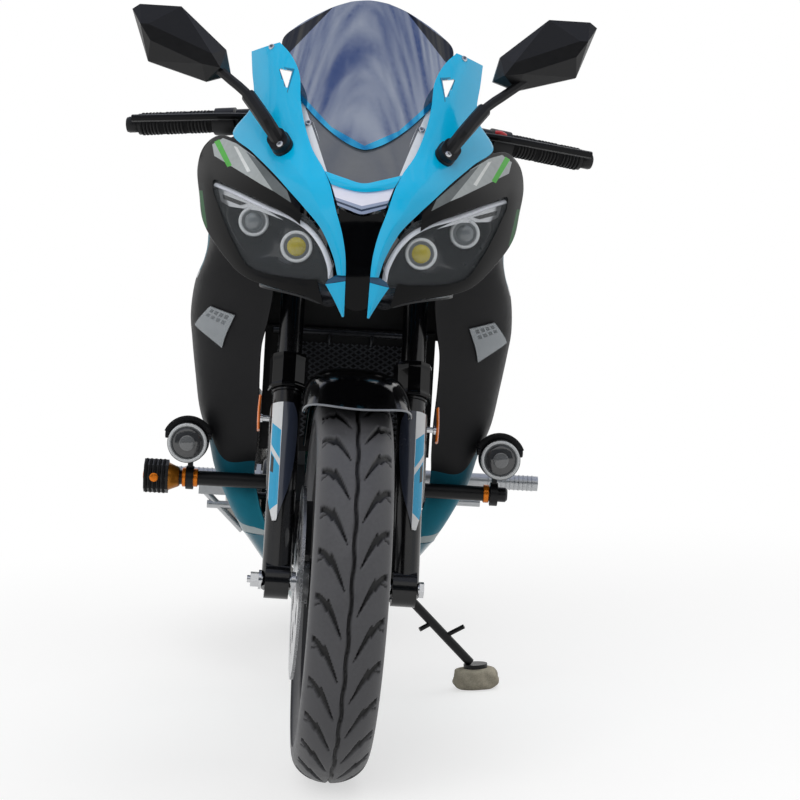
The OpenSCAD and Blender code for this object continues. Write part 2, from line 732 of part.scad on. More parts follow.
module fork_guards() {
  r = smooth(guard_rows, 12);
  function wrap(rad) = [for (q = r) [for (j = [-6 : 6])
    let (a = guard_turn + q[1] * j / 6)
    [rad * sin(a), -rad * cos(a), q[0]]]];
  r_in = slider_d / 2 + 2 * rest_gap;
  color("white") steer_frame() both_sides() translate([fork_x, -fork_offset, -fork_len + guard_at])
    panel(wrap(r_in + panel_t), wrap(r_in));
}

bar_in = [140, -395, 988];
bar_out = [362, -334, 964];
bar_len = norm(bar_out - bar_in);

module on_bar(at) {
  v = bar_out - bar_in;
  translate(bar_in) rotate([0, acos(v.z / norm(v)), atan2(v.y, v.x)]) translate([0, 0, at]) children();
}

module handlebars() {
  clamp_z = head_len / 2 + yoke_gap + yoke_top + 2;
  color("black") steered() both_sides() {
    on_steering_axis() translate([fork_x, -fork_offset, clamp_z]) difference() {
      union() {
        cylinder(h = 28, d = stanchion_d + 18);
        translate([0, -14, 0]) cube([46, 28, 28]);
      }
      translate([0, 0, -1]) cylinder(h = 30, d = stanchion_d + 2 * seat_fit);
    }
    rod([fork_x + 37, -401, 925], bar_in + [6, 0, 6], 26);
    on_bar(-8) cylinder(h = bar_len + 8, d = bar_d);
    on_bar(bar_len - 128) cylinder(h = 124, d = grip_d);
    on_bar(bar_len - 10) cylinder(h = 26, d = bar_d + 2);
    on_bar(bar_len - 164) cylinder(h = 32, d = grip_d + 8);
  }
}

module control_levers() {
  color("dimgray") steered() both_sides() {
    on_bar(42) difference() {
      cylinder(h = 22, d = bar_d + 14);
      translate([0, 0, -1]) cylinder(h = 24, d = bar_d + 2 * seat_fit);
    }
    rod([194, -395, 982], [195, -420, 983], 14);
    tube([[188, -414, 987], [226, -422, 984], [300, -408, 977], [369, -388, 971]], 12, 8, 8);
  }
}

module front_caliper() {
  color("gray") steer_frame() translate([0, -fork_offset, -fork_len]) difference() {
    union() {
      translate([front_disc_x - 24, 54, 60]) cube([46, 62, 86]);
      translate([-fork_x - 8, 4, 84]) cube([22, 80, 40]);
    }
    shaft_x(front_disc_x - 5, front_disc_x + disc_t + 5, 0, 0, front_disc_d + 12);
    translate([-fork_x, 0, 0]) cylinder(h = 400, d = slider_d + 2 * rest_gap);
  }
}

// Chassis

pivot = [165, 385];
pivot_d = 16;
plate_in = 92;
plate_out = 108;
spar_w = 20;

// Side stand: the pin leans outwards, and the foot stands on the stone.
stand_tilt = 20;
stand_pivot = [127, -92, 195];
stand_foot_floor = [257, -66, stone_h];
stand_foot_d = 42;
stand_foot_lap = 10;
function upright(p) = [
  p.x * cos(lean) - (p.z - lean_z) * sin(lean), p.y,
  lean_z + p.x * sin(lean) + (p.z - lean_z) * cos(lean)];
stand_foot = upright(stand_foot_floor);
stand_boss_d = 36;
stand_boss_h = 20;

module on_stand_pin(at) {
  translate(stand_pivot) rotate([0, 90 - stand_tilt, 0]) translate([0, 0, at]) children();
}

module spar() {
  hull() {
    translate([14, head_y + 9, head_z - 38]) cube([spar_w + 12, 44, 74]);
    translate([100, -190, 672]) cube([spar_w, 30, 66]);
  }
  hull() {
    translate([100, -190, 672]) cube([spar_w, 30, 66]);
    translate([plate_in, 118, 420]) cube([plate_out - plate_in, 74, 40]);
  }
}

// Stay from the head tube to the headlamps and the cockpit panel; it passes between the fork legs.
stay_tip = [0, head_y - 141, head_z + 72];

module nose_stay() {
  q = projectors[1];
  pad = [q[0], nose_y(q[0], q[1]) + under + panel_t + bowl_deep + projector_tail + rest_gap, q[1]];
  both_sides() {
    rod([16, head_y - 5, head_z + 26], stay_tip + [18, 0, 0], 16);
    rod(stay_tip + [18, 0, 0], pad + [0, 18, 0], 14);
    rod(pad, pad + [0, 26, 0], 22);
  }
  rod(stay_tip - [30, 0, 0], stay_tip + [30, 0, 0], 22);
  rod(stay_tip, [0, stay_tip.y, cockpit_top - panel_t - rest_gap], 14);
}

rail = [[98, 30, 600], [68, 730, 846]];

module frame() {
  color("dimgray") parked() difference() {
    union() {
      on_steering_axis() translate([0, 0, -head_len / 2]) cylinder(h = head_len, d = head_d);
      both_sides() {
        spar();
        plate_x(plate_in, plate_out)
          polygon([[118, 440], [192, 450], [205, 360], [190, 270], [140, 262], [128, 330]]);
        rod(rail[0], rail[1], 25);
        rod([98, 172, 446], [86, 470, 748], 18);
      }
      rod([-90, 185, 640], [90, 185, 640], 24);
      rod([-70, 700, 835], [70, 700, 835], 20);
      translate([-101, -196, 700]) cube([202, 23, tank_base - tank_rise - 700]);
      plate_x(plate_in, plate_out)
        polygon([[140, 262], [190, 270], [190, 300], [70, 250], [20, 214], [-104, 213], [-110, 180],
          [-80, 174], [40, 182]]);
      nose_stay();
      rod([0, 700, 835], [0, 700, tail_top(700) - panel_t - 2.6], 16);
      both_sides() rod([72, -300, 752], fairing_at(3, 2) - [panel_t + 3.2, 0, -3], 10);
      on_stand_pin(-26) cylinder(h = 26 - stand_boss_h / 2 - 1, d = stand_boss_d - 4);
      on_stand_pin(-26) cylinder(h = 26 + stand_boss_h / 2 + 4, d = stand_pin_d);
    }
    on_steering_axis() cylinder(h = head_len + 20, d = stem_d + 2 * run_fit, center = true);
    shaft_x(-200, 200, pivot.x, pivot.y, pivot_d + 2 * seat_fit);
  }
}

engine_half = plate_in - 2;
// Room between the front tyre and the radiator, level with the axle
radiator_gap = 5;
radiator_y0 = front_axle_y + front_r + radiator_gap;
radiator_y = [radiator_y0, radiator_y0 + 36];
// Lower edge, upper edge, and upper edge of the air guide
radiator_z = [462, 662, 732];
radiator_half = 137;
engine_front = radiator_y[1] + 124;

module engine() {
  color("gray") parked() difference() {
    union() {
      plate_x(-engine_half, engine_half)
        polygon([[-205, 262], [-212, 330], [-190, 430], [-60, 470], [100, 452], [112, 330], [90, 262],
          [40, 240], [-140, 240]]);
      plate_x(-engine_half + 4, engine_half - 4)
        polygon([[engine_front + 36, 420], [engine_front, 530], [engine_front, 612],
          [engine_front + 27, 640], [-60, 640], [-50, 560], [-40, 450]]);
      plate_x(-78, 78)
        polygon([[engine_front + 28, 636], [engine_front + 34, 668], [-80, 668], [-66, 636]]);
      both_sides() {
        plate_x(engine_half - 12, plate_in - rest_gap)
          polygon([[84, 438], [150, 438], [150, 452], [84, 452]]);
        shaft_x(engine_half - 4, fairing_at(10, 2).x - panel_t - 3.2,
          fairing_at(10, 2).y, fairing_at(10, 2).z, 12);
      }
      shaft_x(-126, -engine_half + 1, 0, 356, 132);
      shaft_x(-134, -125, 0, 356, 100);
      shaft_x(engine_half - 1, 122, -70, 354, 136);
      shaft_x(121, 130, -70, 354, 100);
    }
    translate([64, 48, 336]) cube([60, 100, 98]);
  }
  color("gray") parked() shaft_x(63, chain_x[1] - 2, drive.x, drive.y,
    2 * (front_chain_r - chain_h / 2 - rest_gap));
}

module radiator() {
  color("black") parked() {
    difference() {
      union() {
        plate_x(-radiator_half, radiator_half)
          polygon([[radiator_y[0], radiator_z[0]], [radiator_y[0], radiator_z[1]],
            [radiator_y[1], radiator_z[1]], [radiator_y[1], radiator_z[0]]]);
        translate([-radiator_half - 13, radiator_y[1] - 9, radiator_z[1] - 12])
          cube([2 * radiator_half + 26, 7, radiator_z[2] - radiator_z[1] + 12]);
      }
      translate([20 - radiator_half, radiator_y[0] - 1, radiator_z[0] + 22])
        cube([2 * radiator_half - 40, 7, radiator_z[1] - radiator_z[0] - 44]);
    }
    both_sides() rod([78, radiator_y[1] - 4, 575], [78, engine_front - rest_gap, 575], 12);
  }
}

silencer = [[-168, 318, 278], [-196, 700, 456]];
silencer_d = 84;
silencer_wall = 4;
function on_silencer(t) = mix(silencer[0], silencer[1], t);

module exhaust() {
  color("silver") parked() difference() {
    union() {
      for (s = [-1, 1]) {
        rod([s * 42, engine_front - rest_gap, 572], [s * 42, engine_front - 12, 572], 56);
        tube([[s * 42, engine_front - 8, 572], [s * 44, engine_front - 50, 548],
          [s * 44, engine_front - 64, 440], [s * 34, engine_front - 53, 280],
          [s * 24, engine_front + 32, 216], [s * 16 - 10, -60, 212]], 38, 20, 10);
      }
      tube([[-10, -75, 212], [-14, 30, 212], [-50, 140, 212], [-130, 235, 242], on_silencer(0.03)],
        50, 16, 12);
      rod(on_silencer(0), on_silencer(1), silencer_d);
      rod(on_silencer(0.99), on_silencer(1.07), 0.7 * silencer_d);
    }
    rod(on_silencer(0.06), on_silencer(0.97), silencer_d - 2 * silencer_wall);
    rod(on_silencer(0.9), on_silencer(1.2), 0.5 * silencer_d);
  }
}

arm = [98, 120];
spool_len = 24;

module swingarm() {
  color("dimgray") parked() difference() {
    union() {
      shaft_x(-plate_in + 1, plate_in - 1, pivot.x, pivot.y, 50);
      both_sides() {
        plate_x(56, 70) polygon([[150, 366], [150, 404], [300, 396], [300, 346]]);
        plate_x(arm[0], arm[1]) polygon([[232, 345], [232, 396], [420, 392], [rear_axle_y - 40, rear_r + 28],
          [rear_axle_y + 42, rear_r + 20], [rear_axle_y + 42, rear_r - 20], [rear_axle_y - 40, rear_r - 24],
          [420, 328]]);
        shaft_x(arm[1] - 1, arm[1] + spool_len, rear_axle_y - 110, rear_r + 8, spool_d);
      }
      plate_x(-arm[1] + 1, arm[1] - 1) polygon([[250, 346], [250, 394], [322, 394], [322, 346]]);
    }
    shaft_x(-200, 200, rear_axle_y, rear_r, axle_d + 2 * seat_fit);
  }
  color("silver") parked() shaft_x(-plate_out - 8, plate_out + 8, pivot.x, pivot.y, pivot_d);
}

module rear_axle() {
  color("silver") parked() {
    shaft_x(-arm[1] - 14, arm[1] + 14, rear_axle_y, rear_r, axle_d);
    both_sides() shaft_x(arm[1] + rest_gap, arm[1] + 9, rear_axle_y, rear_r, axle_d + 14);
    shaft_x(-arm[0] + rest_gap, rear_disc_x - 1, rear_axle_y, rear_r, axle_d + 12);
    shaft_x(chain_x[0] + 12, arm[0] - rest_gap, rear_axle_y, rear_r, axle_d + 12);
  }
}

module rear_shock() {
  low = [0, 286, 394 + rest_gap];
  high = [0, 187, 640 - 24 - rest_gap];
  v = (high - low) / norm(high - low);
  color("gray") parked() {
    rod(low + v * 14, high, 16);
    shaft_x(-18, 18, low.y, low.z + 14, 28);
    shaft_x(-16, 16, high.y, high.z, 24);
    rod(low + v * 30, low + v * 44, 62);
    rod(high - v * 40, high - v * 24, 62);
    for (k = [0 : 6]) translate(low + v * (52 + 21 * k)) rotate([atan2(-v.y, v.z), 0, 0])
      rotate_extrude() translate([22, 0]) circle(d = 12, $fn = 12);
    rod(low + v * 40, high - v * 30, 42);
  }
}

// Tank, columns: y, half width, top, bottom, squareness.
tank_rows = [[-296, 62, 900, 822, 0.7], [-262, 112, 948, 806, 0.7], [-170, 148, 984, 760, 0.72],
  [-50, 150, 978, 750, 0.75], [50, 124, 925, 748, 0.75], [122, 84, 842, 750, 0.8], [150, 62, 806, 758, 0.8]];
// Height of the frame's cross member under the tank's bottom edge
tank_base = tank_rows[2][3];
tank_rise = -0.6;

module fuel_tank() {
  r = smooth(tank_rows, 18);
  color("deepskyblue") parked() loft([for (a = r) oval(a[0], a[1], a[2], a[3], a[4], 28)]);
}

// Tail, columns: y, half width, z of the lower edge, z of the top.
tail_start = 474;
tail_end = 850;
function tail_top(y) = 812 + 0.24 * (y - tail_start);
tail_rows = [for (q = [[tail_start, 128, 752], [560, 116, 786], [660, 100, 820], [760, 80, 852],
  [tail_end, 50, 880]])
  [q[0], q[1], q[2], tail_top(q[0])]];

// Seats, columns: y, half width, top, bottom, squareness.
rider_rows = [[152, 66, 800, 742, 0.6], [230, 110, 790, 744, 0.55], [330, 138, 786, 746, 0.55],
  [420, 128, 802, 751, 0.55], [462, 112, 828, 765.6, 0.6]];
pillion_rows = [for (q = [[500, 84, 866], [560, 94, 888], [660, 84, 906], [724, 60, 912]])
  [q[0], q[1], q[2], tail_top(q[0]) + rest_gap, 0.6]];

module rider_seat() {
  color("black") parked() loft([for (a = smooth(rider_rows, 10)) oval(a[0], a[1], a[2], a[3], a[4], 24)]);
}

module pillion_seat() {
  color("black") parked() loft([for (a = smooth(pillion_rows, 8)) oval(a[0], a[1], a[2], a[3], a[4], 24)]);
}

module tail_cowl() {
  r = smooth(tail_rows, 14);
  color("deepskyblue") parked()
    sheet([for (a = r) [for (j = [-8 : 8])
      let (u = j / 8, h = max(a[3] - a[2], 4))
      [a[1] * sign(u) * pow(abs(sin(90 * u)), 0.7), a[0], a[2] + h * pow(cos(90 * u), 0.5)]]], panel_t);
}

module tail_lamp() {
  color("red") parked() loft([for (a = [[tail_end + 1.4, 48, 901, 880], [tail_end + 14, 46, 900, 883],
    [tail_end + 26, 34, 898, 887]])
    oval(a[0], a[1], a[2], a[3], 0.6, 16)]);
}

plate_y = 975;

module rear_mudguard() {
  color("black") parked() difference() {
    union() {
      plate_x(-40, 40)
        polygon([[684, 810], [684, 824.6], [714, 824.6], [760, 842], [820, 864], [plate_y, 640],
        [plate_y, 600], [800, 812]]);
      translate([-90, plate_y - 3, 580]) cube([180, 6, 110]);
      both_sides() {
        rod([30, 900, 735], [128, 900, 742], 14);
        translate([120, 885, 728]) cube([44, 32, 28]);
      }
    }
    for (s = [-1, 1]) translate([s * 60, 900, 610]) rotate([-90, 0, 0]) cylinder(h = 200, d = plate_hole_d);
  }
}

crash_z = 410;
crash_y = -402;
crash_end = [262, 280];
bobbin_d = 54;
bobbin_l = 38;

module crash_bars() {
  color("black") parked() {
    both_sides() {
      shaft_x(92, crash_end[0], crash_y, crash_z, crash_bar_d);
      plate_x(engine_half + rest_gap, 106)
        polygon([[crash_y, 398], [crash_y, 424], [-190, 400], [-190, 372]]);
    }
    shaft_x(-crash_end[1], -crash_end[0] + 1, crash_y, crash_z, crash_bar_d + 4);
    shaft_x(-crash_end[1] - bobbin_l, -crash_end[1] + 1, crash_y, crash_z, bobbin_d, $fn = 8);
  }
}

fog_at = [250, -420, 469];

module fog_lamps() {
  color("black") parked() both_sides() {
    difference() {
      shaft_x(fog_at.x - 11, fog_at.x + 1, crash_y, crash_z, crash_bar_d + 14);
      shaft_x(fog_at.x - 20, fog_at.x + 20, crash_y, crash_z, crash_bar_d + 2 * seat_fit);
    }
    translate([fog_at.x - 9, crash_y - 8, crash_z + crash_bar_d / 2 + 3])
      cube([8, 16, fog_at.z - crash_z - fog_lamp_d / 2 - crash_bar_d / 2 + 4]);
    translate(fog_at + [0, -20, 0]) rotate([-90, 0, 0]) difference() {
      cylinder(h = 44, d = fog_lamp_d);
      translate([0, 0, -1]) cylinder(h = 6, d = fog_lamp_d - 12);
    }
  }
}

// Footrests: end and height of the left one, then of the right one
peg = [[364, 378], [306, 360]];

module footrests() {
  color("silver") parked() {
    both_sides() {
      plate_x(plate_out + rest_gap + 10, plate_out + 24)
        polygon([[88, 364], [88, 394], [150, 440], [196, 448], [200, 330], [170, 330], [150, 350]]);
      plate_x(plate_out + rest_gap, plate_out + 12)
        polygon([[178, 394], [178, 418], [192, 418], [192, 394]]);
      plate_x(142, 150) polygon([[32, 338], [32, 352], [104, 386], [104, 368]]);
    }
    shaft_x(plate_out + 20, peg[0][0], 104, peg[0][1], 27);
    shaft_x(-peg[1][0], -plate_out - 20, 108, peg[1][1], 27);
    shaft_x(146, 256, 40, 345, 16);
    rod([-246, 40, 346], [-168, 36, 272], 12);
    shaft_x(-234, -182, 38, 316, 14);
    plate_x(-250, -146) polygon([[32, 334], [32, 352], [54, 352], [54, 344]]);
  }
}

module rear_caliper() {
  color("gray") parked() translate([0, rear_axle_y, rear_r]) difference() {
    union() {
      translate([-arm[0] + rest_gap, -80, 46]) cube([26, 70, 82]);
      translate([-arm[0] + rest_gap, -70, 0]) cube([5.6, 50, 60]);
    }
    shaft_x(rear_disc_x - 5, rear_disc_x + disc_t + 5, 0, 0, rear_disc_d + 12);
  }
}

// Stone under the foot, an uneven block that stands on the floor.
module stand_stone() {
  sides = 11;
  function lump(k, z) = 1 + 0.1 * sin(137 * k + z * 3) + 0.06 * sin(71 * k);
  color("darkgray") translate(origin_shift + [stand_foot_floor.x, stand_foot_floor.y, 0])
    loft([for (q = [[0, 35, 28], [stone_h * 0.4, 40, 32], [stone_h * 0.85, 39, 29], [stone_h, 34, 24]])
      [for (k = [0 : sides - 1])
        [q[1] * lump(k, q[0]) * cos(360 * k / sides), q[2] * lump(k, q[0]) * sin(360 * k / sides), q[0]]]]);
}

// Leg of the stand, with a foot that lies flat on the stone and two tabs for the rider's boot.
module side_stand() {
  function on_leg(t) = mix(stand_pivot + [2, 0, -6], stand_foot + [-stand_foot_lap, 0, 8], t);
  color("black") parked() difference() {
    union() {
      on_stand_pin(-stand_boss_h / 2) cylinder(h = stand_boss_h, d = stand_boss_d);
      rod(on_leg(0), on_leg(1), stand_leg_d);
      translate(stand_foot) rotate([0, -lean, 0]) cylinder(h = 7, d = stand_foot_d);
      rod(on_leg(0.4), on_leg(0.4) + [-22, -8, -12], 8);
      rod(on_leg(0.6), on_leg(0.6) + [32, -6, 20], 8);
    }
    on_stand_pin(-stand_boss_h) cylinder(h = 2 * stand_boss_h, d = stand_pin_d + 2 * run_fit);
  }
}

frame();
engine();
radiator();
exhaust();
swingarm();
rear_axle();
rear_shock();
chain();
fuel_tank();
rider_seat();
pillion_seat();
tail_cowl();
tail_lamp();
rear_mudguard();
nose_cowl();
nose_panel();
running_lamp();
headlamp_lenses();
headlamp_bowls();
headlamp_shells();
chin_panel();
windscreen();
screen_flange();
cockpit_panel();
instrument();
side_fairing_left();
side_fairing_right();
belly_pan();
front_indicators();
mirrors();
crash_bars();
fog_lamps();
footrests();
rear_caliper();
stand_stone();
yokes();
fork_legs();
front_mudguard();
fork_guards();
handlebars();
control_levers();
front_axle();
front_caliper();
front_tyre();
front_rim();
front_disc();
rear_tyre();
rear_rim();
rear_disc();
rear_sprocket();
side_stand();
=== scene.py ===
"""Looks of a faired sport motorcycle that leans on its side stand.

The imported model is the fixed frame. Each sub-assembly is a class that gives the frame's own nodes a
procedural finish, or replaces them by finer pieces from parametric grids. Lengths in the tables are
millimetres of the upright motorcycle, with its nose towards -Y and its left side towards +X.
"""

from __future__ import annotations

import json
import logging
import math
from dataclasses import dataclass, replace
from enum import Enum
from functools import lru_cache
from typing import Callable, Sequence

import bmesh
import bpy
import numpy as np
from mathutils import Matrix, Vector

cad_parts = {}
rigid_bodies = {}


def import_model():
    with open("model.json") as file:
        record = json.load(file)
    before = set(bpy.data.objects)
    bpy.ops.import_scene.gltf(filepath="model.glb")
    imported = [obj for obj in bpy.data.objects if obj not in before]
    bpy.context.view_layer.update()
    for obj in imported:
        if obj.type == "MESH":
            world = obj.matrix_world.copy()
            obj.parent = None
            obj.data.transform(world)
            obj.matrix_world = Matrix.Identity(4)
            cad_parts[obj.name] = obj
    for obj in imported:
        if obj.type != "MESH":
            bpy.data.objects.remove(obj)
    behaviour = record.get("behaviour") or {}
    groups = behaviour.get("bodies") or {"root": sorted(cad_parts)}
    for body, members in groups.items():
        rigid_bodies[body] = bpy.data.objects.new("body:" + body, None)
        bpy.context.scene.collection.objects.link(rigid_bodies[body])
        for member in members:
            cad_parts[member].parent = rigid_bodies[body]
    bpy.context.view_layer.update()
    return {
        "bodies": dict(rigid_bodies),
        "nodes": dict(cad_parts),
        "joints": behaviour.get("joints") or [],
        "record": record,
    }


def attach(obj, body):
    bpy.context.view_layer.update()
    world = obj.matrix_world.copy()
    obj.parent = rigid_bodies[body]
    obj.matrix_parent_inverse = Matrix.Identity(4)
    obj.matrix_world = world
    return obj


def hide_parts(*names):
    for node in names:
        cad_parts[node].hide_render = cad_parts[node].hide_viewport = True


Array = np.ndarray
Rows = Sequence[Sequence[float]]
LOG = logging.getLogger("motorcycle")


# Curves, surfaces and meshes


def spline(a: Array, b: Array, c: Array, d: Array, t: Array) -> Array:
    """Point between b and c: 0.5 (2b + (c - a) t + (2a - 5b + 4c - d) t^2 + (3b - a - 3c + d) t^3).

    Args:
        a: row before.
        b: row at t = 0.
        c: row at t = 1.
        d: row after.
        t: place between b and c.

    Returns:
        The point.
    """
    return 0.5 * (2 * b + (c - a) * t + (2 * a - 5 * b + 4 * c - d) * t**2 + (3 * b - a - 3 * c + d) * t**3)


def curve(rows: Rows | Array, u: float | Array) -> Array:
    """Points on a smooth curve, spline(), through the rows of a table.

    Args:
        rows: table with one row for each whole u.
        u: parameters from 0 to the number of rows less one.

    Returns:
        One row for each u.
    """
    r = np.asarray(rows, float)
    last = len(r) - 1
    u = np.clip(np.asarray(u, float), 0, last)
    i = np.minimum(np.floor(u).astype(int), last - 1)
    t = (u - i)[..., None]
    return spline(r[np.maximum(i - 1, 0)], r[i], r[i + 1], r[np.minimum(i + 2, last)], t)


def smooth(rows: Rows | Array, steps: int) -> Array:
    """Even steps along curve().

    Args:
        rows: table of points.
        steps: number of steps.

    Returns:
        steps + 1 rows.
    """
    return curve(rows, np.linspace(0, len(rows) - 1, steps + 1))


def powered(v: Array, p: float | Array) -> Array:
    """Signed power, sign(v) |v|^p.

    Args:
        v: values.
        p: power.

    Returns:
        The powers with the signs of the values.
    """
    return np.sign(v) * np.abs(v) ** p


def bell(v: Array, at: float, wide: float) -> Array:
    """Bell curve, exp(-((v - at) / wide)^2).

    Args:
        v: places.
        at: the middle.
        wide: the width.

    Returns:
        Values from 0 to 1.
    """
    return np.exp(-(((v - at) / wide) ** 2))


def normals(p: Array) -> Array:
    """Unit normals of a grid: the cross product of its two differences.

    Args:
        p: grid (m, n, 3).

    Returns:
        Grid of unit vectors.
    """
    c = np.cross(np.gradient(p, axis=0), np.gradient(p, axis=1))
    return c / np.maximum(np.linalg.norm(c, axis=-1, keepdims=True), 1e-9)


def inside(outline: Sequence[Sequence[float]], p: Array) -> Array:
    """Which points lie in a convex outline, on the inner side of every edge.

    Args:
        outline: corners in order.
        p: points (..., 2).

    Returns:
        Mask of the same leading shape.
    """
    q = np.asarray(outline, float)
    e = np.roll(q, -1, 0) - q
    side = e[:, 0] * (p[..., 1, None] - q[:, 1]) - e[:, 1] * (p[..., 0, None] - q[:, 0])
    return np.all(side >= 0, -1) | np.all(side <= 0, -1)


@dataclass
class Shape:
    """Mesh data: points, faces of three or four corners, and one texture point for each vertex."""

    verts: Array
    faces: list[Array]
    uv: Array | None = None
    mask: Array | None = None

    def full_uv(self) -> Array:
        """Returns: texture points, the front view's x and z in metres if none were given."""
        if self.uv is not None:
            return self.uv
        return np.stack([np.abs(self.verts[:, 0]), self.verts[:, 2]], -1) / 1000

    def full_mask(self) -> Array:
        """Returns: the mask of each vertex, 0 if none was given."""
        return np.zeros(len(self.verts)) if self.mask is None else self.mask

    def mirrored(self) -> Shape:
        """Returns: the same shape on the other side, x -> -x, with its faces turned round."""
        return Shape(self.verts * (-1, 1, 1), [f[:, ::-1] for f in self.faces], self.full_uv(), self.mask)

    def both(self) -> Shape:
        """Returns: this shape and its mirror image."""
        return merged(self, self.mirrored())

    def cut(self, drop: Array) -> Shape:
        """Leaves out every face whose corners' mean mask is over a half.

        Args:
            drop: one value for each vertex.

        Returns:
            The shape with an opening.
        """
        return replace(self, faces=[f[drop[f].mean(1) < 0.5] for f in self.faces])


def merged(*shapes: Shape) -> Shape:
    """One shape that holds several.

    Args:
        shapes: the shapes to join.

    Returns:
        The joined shape.
    """
    starts = np.cumsum([0] + [len(s.verts) for s in shapes])
    faces = [f + k for s, k in zip(shapes, starts) for f in s.faces]
    return Shape(
        np.concatenate([s.verts for s in shapes]),
        faces,
        np.concatenate([s.full_uv() for s in shapes]),
        np.concatenate([s.full_mask() for s in shapes]),
    )


def grid(p: Array, wrap: bool = False, uv: Array | None = None, mask: Array | None = None) -> Shape:
    """Quads over a grid of points; corner (i, j) is vertex i n + j.

    Args:
        p: points (m, n, 3).
        wrap: whether the last column joins the first.
        uv: texture points (m, n, 2).
        mask: vertex mask (m, n).

    Returns:
        The open surface.
    """
    m, n = p.shape[:2]
    i, j = np.meshgrid(np.arange(m - 1), np.arange(n if wrap else n - 1), indexing="ij")
    k = (j + 1) % n
    f = np.stack([i * n + j, (i + 1) * n + j, (i + 1) * n + k, i * n + k], -1).reshape(-1, 4)
    return Shape(
        p.reshape(-1, 3),
        [f],
        None if uv is None else uv.reshape(-1, 2),
        None if mask is None else mask.ravel(),
    )


def slab(outer: Array, inner: Array, uv: Array | None = None) -> Shape:
    """Closed panel between two grids of the same size, with its four edges walled.

    Args:
        outer: shown grid (m, n, 3).
        inner: hidden grid.
        uv: texture points of both grids.

    Returns:
        The closed shape.
    """
    m, n = outer.shape[:2]
    a, b = grid(outer, uv=uv), grid(inner, uv=uv)
    i, j = np.arange(m) * n, np.arange(n)
    rim = np.concatenate([j[:-1], i[:-1] + n - 1, (m - 1) * n + j[:0:-1], i[:0:-1]])
    nxt = np.roll(rim, -1)
    wall = np.stack([rim, nxt, nxt + m * n, rim + m * n], -1)
    both = merged(a, Shape(b.verts, [b.faces[0][:, ::-1]], b.uv))
    return replace(both, faces=[*both.faces, wall])


def ring_solid(rings: Array, uv: Array | None = None) -> Shape:
    """Closed solid through rings of points, with a fan at each end.

    Args:
        rings: points (m, n, 3).
        uv: texture points (m, n, 2).

    Returns:
        The closed shape.
    """
    m, n = rings.shape[:2]
    side = grid(rings, True, uv)
    j = np.arange(n)
    ends = np.stack([rings[0].mean(0), rings[-1].mean(0)])
    low = np.stack([np.full(n, m * n), j, (j + 1) % n], -1)
    high = np.stack([np.full(n, m * n + 1), (m - 1) * n + (j + 1) % n, (m - 1) * n + j], -1)
    u = side.full_uv()
    return Shape(
        np.concatenate([side.verts, ends]), [side.faces[0], low, high], np.concatenate([u, u[[0, -1]]])
    )


def axes(direction: Sequence[float]) -> tuple[Array, Array, Array]:
    """Right-handed unit axes whose third lies along a direction.

    Args:
        direction: any vector but zero.

    Returns:
        Two cross axes and the direction.
    """
    w = np.asarray(direction, float) / np.linalg.norm(direction)
    a = np.cross(w, (1, 0, 0) if abs(w[0]) < 0.8 else (0, 0, 1))
    a /= np.linalg.norm(a)
    return a, np.cross(w, a), w


def revolve(
    profile: Rows, at: Sequence[float], direction: Sequence[float], sides: int, hexed: float = 0
) -> Shape:
    """Turns a profile about an axis: point = at + h w + r (a cos t + b sin t).

    Args:
        profile: rows of radius and height along the axis.
        at: point on the axis.
        direction: the axis.
        sides: steps round the axis.
        hexed: rings of a smaller radius than this become hexagons.

    Returns:
        The turned shape, closed at its ends.
    """
    a, b, w = axes(direction)
    q = np.asarray(profile, float)
    t = np.arange(sides) * 2 * np.pi / sides
    r = np.repeat(q[:, :1], sides, 1)
    six = np.cos(np.pi / 6) / np.cos((t % (np.pi / 3)) - np.pi / 6)
    r = np.where((r < hexed) & (r > 1e-3), r * six, r)
    around = np.cos(t)[:, None] * a + np.sin(t)[:, None] * b
    p = np.asarray(at, float) + q[:, 1, None, None] * w + r[..., None] * around
    u = np.stack(np.broadcast_arrays(t / (2 * np.pi), np.linspace(0, 1, len(q))[:, None]), -1)
    return ring_solid(p, u)


def sweep(path: Rows | Array, width: float, height: float, steps: int, sides: int) -> Shape:
    """Oval tube along a smooth path: ring = p + a w/2 cos t + b h/2 sin t in each step's cross plane.

    Args:
        path: points to pass through.
        width: full width of the section.
        height: full height.
        steps: rings less one.
        sides: points in a ring.

    Returns:
        The closed tube.
    """
    p = smooth(path, steps)
    d = np.gradient(p, axis=0)
    d /= np.linalg.norm(d, axis=1, keepdims=True)
    a = np.cross(d, axes(d[len(d) // 2])[1])
    a /= np.linalg.norm(a, axis=1, keepdims=True)
    b = np.cross(d, a)
    t = np.arange(sides) * 2 * np.pi / sides
    wide, high = (width / 2 * np.cos(t))[:, None], (height / 2 * np.sin(t))[:, None]
    rings = p[:, None] + a[:, None] * wide + b[:, None] * high
    u = np.stack(np.broadcast_arrays(t / (2 * np.pi), np.linspace(0, 1, steps + 1)[:, None]), -1)
    return ring_solid(rings, u)


def plate(outline: Rows, place: Callable[[Array, float], Array], depth: float) -> Shape:
    """Prism over a convex outline: its points on a surface and again a depth further back.

    Args:
        outline: corners (n, 2) in order.
        place: gives the 3-D points of outline points at a depth.
        depth: thickness of the prism.

    Returns:
        The closed prism.
    """
    q = np.asarray(outline, float)
    e = np.concatenate([np.linspace(q[k], q[(k + 1) % len(q)], 6, endpoint=False) for k in range(len(q))])
    c = e.mean(0)
    scale = np.linspace(1, 0.02, 6)[:, None, None]
    flat = c + (e - c) * scale
    front, back = place(flat, 0.0), place(flat, depth)
    return ring_solid(np.concatenate([front[::-1], back]))


